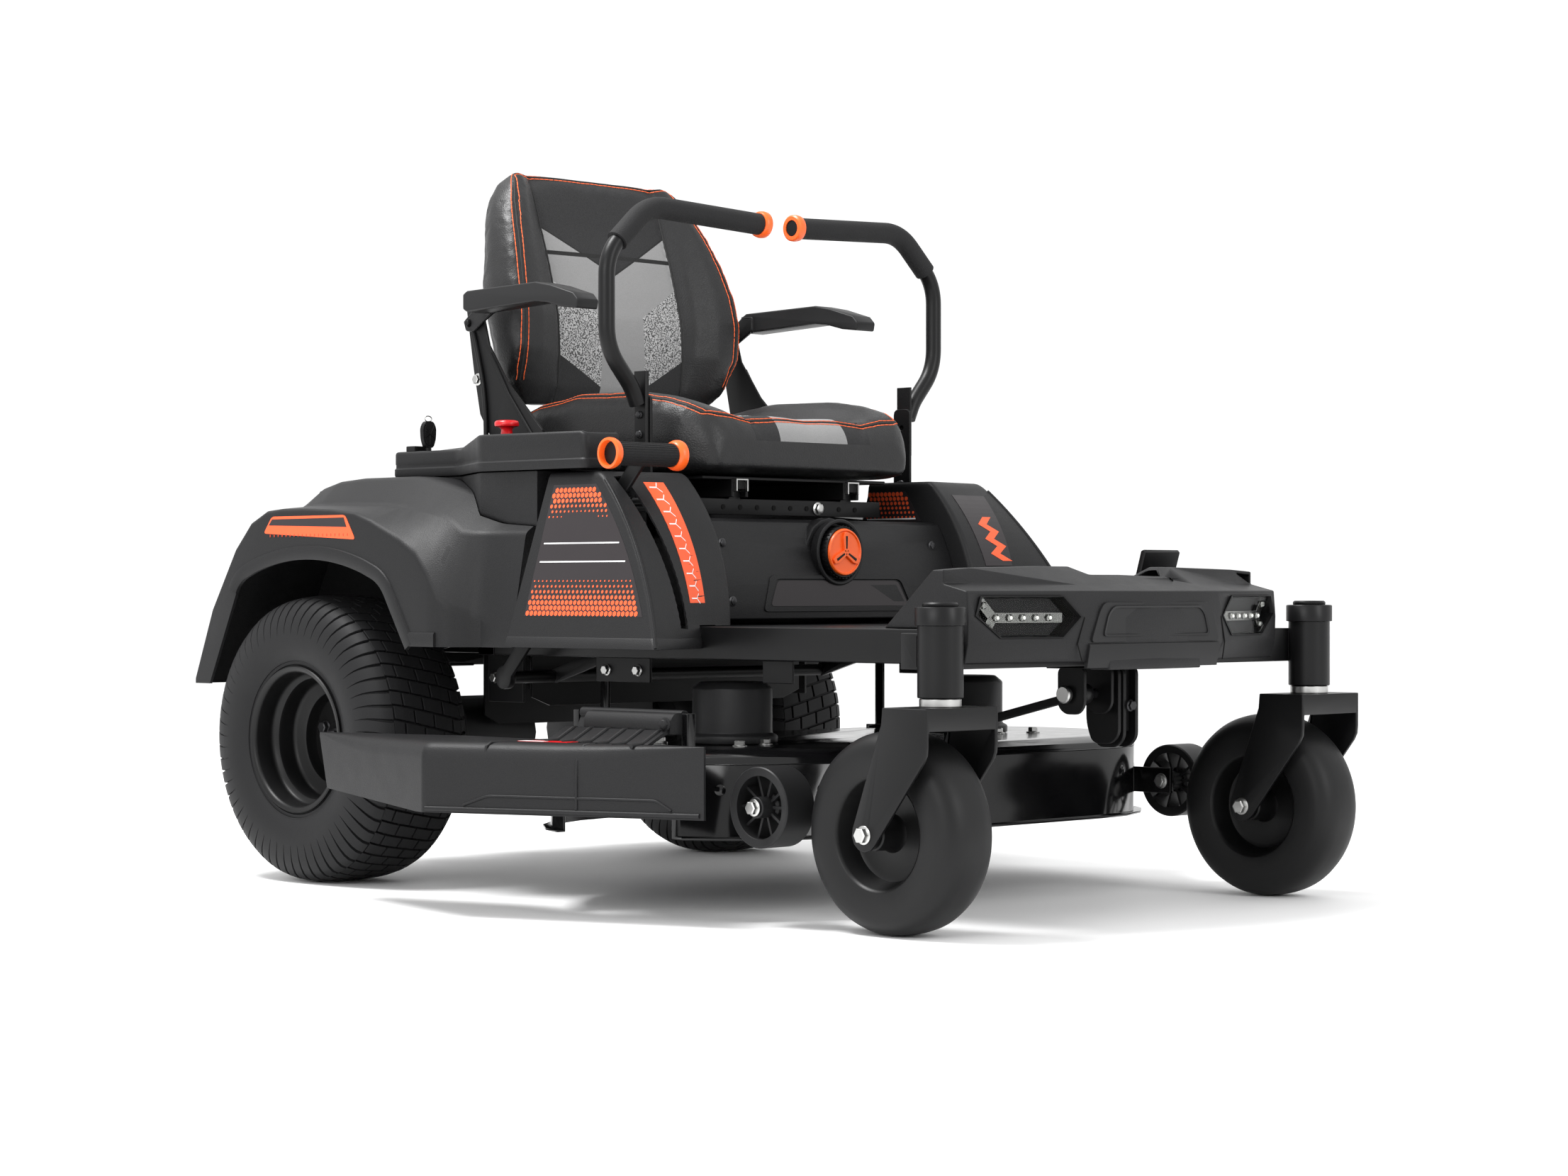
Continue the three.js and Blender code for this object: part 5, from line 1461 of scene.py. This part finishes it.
def headlights():
    """Bezel, reflector and clear lens on each side of the cowl."""
    depths = ((2, 1.02), (-1.4, 1.04), (-1.6, 1.0), (20, 0.9), (25, 0.9), (22, 1.0), (2, 1.02))
    bezel = loft([lamp_ring(*row) for row in depths], caps=False)
    bezel += loft([lamp_ring(19, 0.92), lamp_ring(21, 0.92)])
    bars = reflector()
    lens = loft([lamp_ring(3, 0.965), lamp_ring(4.6, 0.965)])
    for word, side in SIDES:
        lamp = f"headlight_{word}"
        build(f"{lamp}_bezel", bezel.side(side), "chassis", DARK_PLASTIC, smooth=25)
        build(f"{lamp}_reflector", bars.side(side), "chassis", [LAMP_GREY, LAMP_GREY, CELL], bevel=0.5,
              smooth=25)
        build(f"{lamp}_lens", lens.side(side), "chassis", LENS, stands_for=lamp, smooth=25)


# ---------------------------------------------------------------- console, switches, dial and seat base
PANEL_PLAN = (
    (38, -298), (38, -352), (203, -352), (358, -440), (604, -440), (604, -364), (490, -364), (490, -298),
)
PANEL_TOP = ((30, 690), (42, 693), (215, 693), (290, 708), (590, 708), (612, 698))
# The lid's skin upwards: inset, drop below the top or None, flat height where there is no drop.
LID_SKIN = (
    (3.6, None, 651.2), (0, None, 651.2), (-1.4, None, 655), (-1.4, None, 664), (0.8, None, 666.5),
    (0.8, None, 671), (0, None, 673), (0, -5, None), (0.9, -2.2, None), (3.2, -0.4, None), (6.5, 0, None),
)
STOP_AT, KEY_AT = (322, -352, 708), (96, -326, 693)
DIAL_Z = 528
DIAL_AT = (0, 0, DIAL_Z)


def plan_shrunk(inset):
    """The panel's outline from above with its corners rounded, moved in by inset."""
    plan = []
    count = len(PANEL_PLAN)
    for i, p in enumerate(PANEL_PLAN):
        before = (Vector(p) - Vector(PANEL_PLAN[i - 1])).normalized()
        after = (Vector(PANEL_PLAN[(i + 1) % count]) - Vector(p)).normalized()
        push = (Vector((before.y, -before.x)) + Vector((after.y, -after.x))) / (1 + before.dot(after))
        plan.append(tuple(Vector(p) - push * inset))
    return soften(plan, max(2, 12 - inset), 5)


def panel_top(x):
    for (x0, z0), (x1, z1) in zip(PANEL_TOP, PANEL_TOP[1:]):
        if x <= x1:
            return z0 + (z1 - z0) * (x - x0) / (x1 - x0)
    return PANEL_TOP[-1][1]


def console_panel():
    """The switch panel: a stepped lid with a moulded waist and a rolled rim along its foot."""
    rings = []
    for inset, drop, flat in LID_SKIN:
        rings.append([(x, y, flat if drop is None else panel_top(x) + drop) for x, y in plan_shrunk(inset)])
    panel = build("console_panel_lid", loft(rings), "chassis", GRAINED, stands_for="console_panel",
                  smooth=34)
    inside = plan_shrunk(4.2)
    inner = loft([[(x, y, 646) for x, y in inside], [(x, y, panel_top(x) - 4) for x, y in inside]])
    holes = (rod(radius, 600, 760, (x, y, 0), "z", 32) for radius, (x, y, _) in ((8.9, STOP_AT), (5, KEY_AT)))
    carve(panel, inner, *holes)
    dress(panel, angle=34, smooth=36)
    switch = block(60, 82, -343, -307, 692.5, 702)
    build("key_switch_housing", switch, "chassis", DARK_PLASTIC, bevel=1.5)


def stop_button():
    """A mushroom button in a plain collar."""
    mushroom = (
        (0, -22), (8.4, -22), (8.4, 2), (9.2, 6), (8.6, 12), (11.5, 15.5), (18.4, 17.2), (19.2, 19), (19, 23),
        (17.2, 25.6), (12, 26.6), (0, 27),
    )
    build("stop_button_mushroom", lathe(mushroom, STOP_AT, "z"), "stop_plunger", RED,
          stands_for="stop_button", smooth=50)
    collar = ((9.4, 0.2), (12.5, 0.2), (13.4, 1.2), (12.6, 2.8), (9.6, 3))
    build("stop_button_collar", lathe(collar, STOP_AT, "z", 48, loop=True), "chassis", DARK_PLASTIC,
          smooth=40)


def ignition_key():
    """A key with a ribbed fob on its shank, and a wire ring through the fob."""
    x, y, z = KEY_AT
    outline = soften([(-8, 6), (8, 6), (13, 20), (14, 38), (8, 49), (-8, 49), (-14, 38), (-13, 20)], 5, 4)
    fob = slab(outline, "yz", -4.2, 4.2)
    inner = [(u * 0.8, 28 + (w - 28) * 0.82) for u, w in outline]
    hub = (0, 28)
    for k in (1, -1):
        fob += slab(inner, "yz", min(4.2 * k, 5 * k), max(4.2 * k, 5 * k))
        for u, w in ((0, 10), (-9, 44), (9, 44), (-10, 22), (10, 22), (-9, 34), (9, 34)):
            fob += sweep([(5.0 * k, u, w), (5.0 * k, *hub)], 0.9, 6)
    fob += rod(4.4, -16, 8, axis="z")
    build("ignition_key_fob", fob.moved(x, y, z), "key_barrel", DARK_PLASTIC, bevel=0.6,
          stands_for="ignition_key")
    turns = [2 * math.pi * k / 24 for k in range(25)]
    ring = sweep([(x, y + 7 * math.cos(a), z + 53 + 4.5 * math.sin(a)) for a in turns], 0.9, 8)
    build("ignition_key_ring", ring, "key_barrel", ZINC, smooth=60)


def console():
    """The open bin beside the seat, the switch panel over it, and its button and key."""
    bin_shell = build("console_bin_shell", bin_loft(0.0, 650), "chassis", GRAINED, stands_for="console_bin",
                      smooth=36)
    carve(bin_shell, bin_loft(-4.0, 656).moved(0, 0, 4))
    dress(bin_shell, 0.8, angle=40)
    console_panel()
    stop_button()
    ignition_key()


def dial():
    """The suspension dial: a knurled rim round a three-spoked orange face."""
    ring = ((30, 692), (36, 716), (39, 716.6), (40.6, 713), (40.8, 700), (39, 692))
    grip = lathe(ring, DIAL_AT, "x", 96, loop=True)
    for k in range(36):
        grip += block(694, 714, -1.1, 1.1, 39.9, 41.6).turned("X", 10 * k).moved(*DIAL_AT)
    grip += lathe([(0, 650), (10, 650), (10, 691), (36, 691), (36, 697), (0, 697)], DIAL_AT, "x", 48)
    rim = ((0, 697), (36.6, 697), (36.9, 716), (35.6, 719.6), (33.2, 720), (32, 717.6), (0, 717.6))
    face = lathe(rim, DIAL_AT, "x", 72)
    spoke = soften([(-4.6, 0), (4.6, 0), (6.6, 22), (4, 31), (-4, 31), (-6.6, 22)], 2)
    # Each spoke's slot is a thin dark plate laid on it: painted shade, not a cut.
    slot = soften([(-1.5, 5), (1.5, 5), (2.2, 25), (-2.2, 25)], 1)
    for k in range(3):
        arm = slab(spoke, "yz", 717, 722) + slab(slot, "yz", 721.6, 722.4, paint=1)
        face += arm.turned("X", 120 * k).moved(*DIAL_AT)
    build("suspension_dial_grip", grip, "dial_knob", DARK_PLASTIC,
          stands_for="suspension_dial", smooth=40)
    build("suspension_dial_face", face, "dial_knob", [ORANGE, DARK_PLASTIC], bevel=0.6)


def panel_front(z):
    return 430 + math.sqrt(280 ** 2 - (z - 425) ** 2)


def seat_face(y, z, lift):
    return (panel_front(z) + lift, y, z)


def seat_base():
    """The front cover under the seat, with a framed label, a ring round the dial and four screws."""
    refine("seat_base_cover", GRAINED, 2.0, 3, 24)
    ring = ((44.6, 690), (48, 690), (52, 707), (50, 709), (46.5, 708.5), (44.6, 706))
    frame_out = soften([(-150, 492), (150, 492), (172, 436), (-172, 436)], 10, 4)
    frame_in = [(y * 0.93, 464 + (z - 464) * 0.78) for y, z in frame_out]
    raised = loft([
        [seat_face(y, z, lift) for y, z in edge]
        for edge, lift in ((frame_out, -2), (frame_out, 2.4), (frame_in, 2.4), (frame_in, -2))
    ], caps=False)
    build("seat_base_frame", raised + lathe(ring, DIAL_AT, "x", 72, loop=True), "chassis", GRAINED, bevel=0.6,
          segments=1)
    patch = [(y * 0.9, 464 + (z - 464) * 0.7) for y, z in frame_out]
    build("seat_base_label", plate(seat_face, patch, -0.4, 0.35), "chassis", DECAL)
    screws = Shape()
    for y in (-236, 236):
        for z in (452, 540):
            screws += bolt((panel_front(z) - 0.4, y, z), "x", 10, 3, 8, 1)
    build("seat_base_screws", screws, "chassis", DARK_ZINC)


def seat_hardware():
    """Bolts and rolled ribs on the seat's side brackets, slide rail ends, and painted shade in the plate's
    holes.
    """
    bolts, ribs = Shape(), Shape()
    for side in (1, -1):
        bolts += bolt((174, 286 * side, 808), "y", 13, 6, 10, side)
        run = [(196, 288, 690), (196, 288, 740), (190, 288, 800), (172, 288, 860), (164, 288, 884)]
        ribs += sweep([(x, y * side, z) for x, y, z in bend_path(run, 30, 4)], 4.2, 12)
        ribs += sweep([(x, 286.6 * side, z) for x, z in ((320, 700), (250, 782), (206, 848))], 3.2, 10)
    build("seat_bracket_bolts", bolts, "seat", ZINC, bevel=0.3, segments=1)
    build("seat_bracket_ribs", ribs, "seat", SATIN_STEEL, smooth=60)
    section = (
        (-13, 622), (-10.5, 622), (-10.5, 639), (10.5, 639), (10.5, 622), (13, 622), (13, 642), (-13, 642),
    )
    rails = Shape()
    for y in (-125, 125):
        rails += slab([(y + u, z) for u, z in section], "yz", 590, 618)
    build("seat_rail_ends", rails, "seat", ZINC, bevel=0.8)
    # Near-black discs where the suspension plate's holes are: painted shade instead of openings.
    hole_shades_and_bolt = Shape()
    for k in range(9):
        hole_shades_and_bolt += rod(4, 0, 0.8, (600.2, -150 + 37 * k, 598), "x", 20)
    hole_shades_and_bolt += bolt((600, 60, 598), "x", 15, 6, 11, 1, paint=1)
    build("suspension_plate_hole_shades_and_bolt", hole_shades_and_bolt, "seat_carriage", [SHADE_AND_VALVE_BLACK, ZINC])


# ---------------------------------------------------------------- deck, chute and front end
CHUTE_TOP, CHUTE_SKIN, CHUTE_FOOT = 252, 3.6, 150
CHUTE_STATIONS = (214, 240, 300, 380, 470, 540, 556, 562, 570, 600, 640, 700, 760, 820, 880, 930, 960, 976)
CHUTE_RIBS = (690, 726, 762, 798, 834, 870)
HINGE_Y, HINGE_Z = -500, 291
HANGER_PIN = (1196, 0, 318)
BLADE_X, BLADE_Y, DECK_R = 735, 262, 272


def chute_outer(x):
    """The chute's reach to the right: swept out from the front to the rear corner, then a short tail."""
    return 550 + (983 - x) * 165 / 421 if x >= 562 else 634 + (x - 214) * 81 / 348


def chute_inner(x):
    return 550 if x >= 640 else (552 if x >= 470 else 552 + (470 - x) * 76 / 256)


def chute_section(x):
    """The chute's skin across the machine: flat top, rounded shoulder and outer wall."""
    out, near = chute_outer(x), chute_inner(x)
    foot = CHUTE_FOOT if x >= 540 else CHUTE_FOOT + (540 - x) * 0.06
    if x < 236:
        foot = 246
    inner, under = out - CHUTE_SKIN, CHUTE_TOP - 4
    r = max(0.6, min(26, (out - near) * 0.34, (250 - foot) * 0.4))
    shoulder = corner_run((60 - out, CHUTE_TOP), (-out, CHUTE_TOP), (-out, CHUTE_TOP - 60), r, 5)
    lining = corner_run((60 - out, under), (-inner, under), (-inner, CHUTE_TOP - 60), max(0.4, r - 3), 5)
    ring = [(-near, CHUTE_TOP)] + shoulder + [(-out, foot), (-inner, foot)] + lining[::-1] + [(-near, under)]
    return [(x, y, z) for y, z in ring]


def chute():
    """The discharge chute with its hinge box, ribs, hem and label, on the flap."""
    cover = loft([chute_section(x) for x in CHUTE_STATIONS])
    ramp = (
        (-572, 248), (-572, 252.4), (-536, 271), (-512, 271), (-503, 291), (-500, 284), (-507, 265),
        (-534, 266),
    )
    cover += slab(ramp, "yz", 668, 882)
    hump = soften([(-532, 266), (-532, 284), (-524, 295), (-510, 296), (-506, 290), (-506, 266)], 5)
    cover += slab(hump, "yz", 704, 886)
    cover += pipe(4.4, 8, 668, 882, (0, HINGE_Y, HINGE_Z), "x", 32)
    build("discharge_chute_cover", cover, "chute_flap", GRAINED, stands_for="discharge_chute",
          smooth=44)
    ribs = Shape()
    for x in CHUTE_RIBS:
        run = [(x, -592, 250.6), (x, -572, 252.2), (x, -540, 269.4), (x, -533, 269)]
        ribs += sweep(bend_path(run, 5, 3), 3.6, 10)
    ribs += bolt((878, -533, 280), "y", 13, 6, 10, -1)
    for x in (660, 900):
        reach = chute_outer(x) - 12
        run = [(-reach, 251.6), (-reach - 9, 246), (-reach - 11.4, 226)]
        ribs += sweep([(x, -562, 251.6)] + [(x - 6, y, z) for y, z in run], 2.2, 8)
    ribs += sweep([(x, -chute_outer(x) - 0.2, 156) for x in (970, 800, 640, 566)], 3.6, 10)
    ledge = [(x, -chute_outer(x) - 0.2, z) for x, z in ((930, 162), (908, 176), (660, 176), (624, 162))]
    ribs += sweep(bend_path(ledge, 8, 4), 2.2, 8)
    step = [(792, -(chute_outer(792) + lift), z) for z, lift in ((160, 0), (200, 0), (228, -1))]
    ribs += sweep(step + [(793, -(chute_outer(792) - 14), 249.6), (794, -600, 251.4)], 2.6, 8)
    build("discharge_chute_ribs", ribs, "chute_flap", GRAINED, smooth=60)
    label = slab([(648, -588), (742, -576), (748, -604), (652, -620)], "xy", 252.1, 252.6)
    label += slab([(652, -604), (700, -596), (704, -611), (655, -618)], "xy", 252.5, 252.9, paint=1)
    build("discharge_chute_label", label, "chute_flap", [RED, WHITE])


def deck_details():
    """Bolts and pressed dimples on the deck, and the heads of the front hanger's pin."""
    bolts, dimples, pin = Shape(), Shape(), Shape()
    for side in (1, -1):
        for x, y in ((805, BLADE_Y), (650, 330), (820, 330)):
            bolts += bolt((x, y * side, 240), "z", 14, 7, 11, 1)
        for a in (-48, -16, 16, 48):
            x, y = (b + DECK_R * turn for b, turn in (
                (BLADE_X, math.cos(math.radians(a))), (BLADE_Y, math.sin(math.radians(a)))))
            dimple = lathe([(0, 0), (8, 0), (6, 1.6), (0, 2.4)], axis="x", steps=24)
            dimples += dimple.turned("Z", a).moved(x, y, 186).side(side)
        pin += lathe([(0, 38 * side), (13, 38 * side), (13, 44 * side), (11, 46 * side), (0, 46 * side)],
                     HANGER_PIN, "y", 32)
    build("deck_bolts", bolts, "deck", ZINC, bevel=0.3, segments=1)
    build("deck_dimples", dimples, "deck", DECK_PAINT, smooth=60)
    build("hanger_pins", pin, "chassis", ZINC, bevel=0.3, segments=1)


def front_hanger():
    """Bracket under the front beam: a bolted cap, two rounded ears with the pin, and a catch housing."""
    made = slab(soften([(-60, 356), (-60, 366.4), (102, 366.4), (102, 356)], 2), "yz", 1177, 1299)
    ear = soften([(1177, 357), (1177, 300), (1190, 289), (1216, 289), (1227, 302), (1227, 357)], 10, 4)
    for y in (-34, 28):
        made += slab(ear, "xz", y, y + 6)
    for y, low in ((50, 244), (62, 238), (90, 238)):
        cheek = [(1161, 357), (1161, low + 30), (1172, low), (1208, low), (1222, low + 14), (1222, 357)]
        made += slab(soften(cheek, 12, 4), "xz", y, y + 7)
    made += block(1168, 1210, 57, 90, 262, 356) + rod(7, -40, 40, HANGER_PIN, "y", 32)
    for y in (57, 97):
        made += pipe(9, 13, 0, 2.4, (1192, y, 286), "y", 32)
    build("front_hanger_bracket", made, "chassis", SATIN_STEEL, bevel=1.2, stands_for="front_hanger")
    pins = bolt((1223, 76, 300), "x", 13, 5, 9, 1)
    for z in (262, 286, 330):
        pins += rod(5, 0, 44, (1192, 52, z), "y")
    build("front_hanger_pins", pins, "chassis", DARK_ZINC, bevel=0.5, segments=1)


def underside():
    """Cross plates, brackets and hoses under the frame, fixed to the chassis."""
    made = slab([(-300, 366), (300, 366), (300, 300), (262, 286), (-262, 286), (-300, 300)], "yz", 318, 323)
    made += slab([(-190, 366), (190, 366), (190, 262), (160, 246), (-160, 246), (-190, 262)], "yz", 72, 76)
    studs = Shape()
    for side in (1, -1):
        for x0, x1, y, low in ((238, 322, 316, 292), (520, 640, 340, 330), (880, 940, 340, 334)):
            made += block(x0, x1, y * side - 2.5, y * side + 2.5, low, 367)
        for x, y, z in ((256, 318.5, 330), (300, 318.5, 330), (545, 342.5, 348), (615, 342.5, 348)):
            studs += bolt((x, y * side, z), "y", 13, 6, 9, side)
    build("underside_brackets", made, "chassis", SATIN_STEEL, bevel=1.2)
    hoses = Shape()
    for y, drop in ((-150, 40), (-110, 52), (120, 46)):
        run = [(262, y, 362), (262, y, 362 - drop), (180, y - 20, 340 - drop), (100, y, 362)]
        hoses += sweep(bend_path(run, 30, 8), 6, 12)
    build("underside_hoses", hoses, "chassis", CASTER_RUBBER, smooth=60)
    build("underside_bolts", studs, "chassis", ZINC, bevel=0.3, segments=1)


# ---------------------------------------------------------------- the whole machine
studio()
steelwork()
make_seat()
rear_wheels()
casters()
gauge_wheels()
lap_bars()
height_lever_grip()
control_pods()
fenders()
front_cowl()
console()
dial()
seat_base()
seat_hardware()
chute()
deck_details()
front_hanger()
underside()
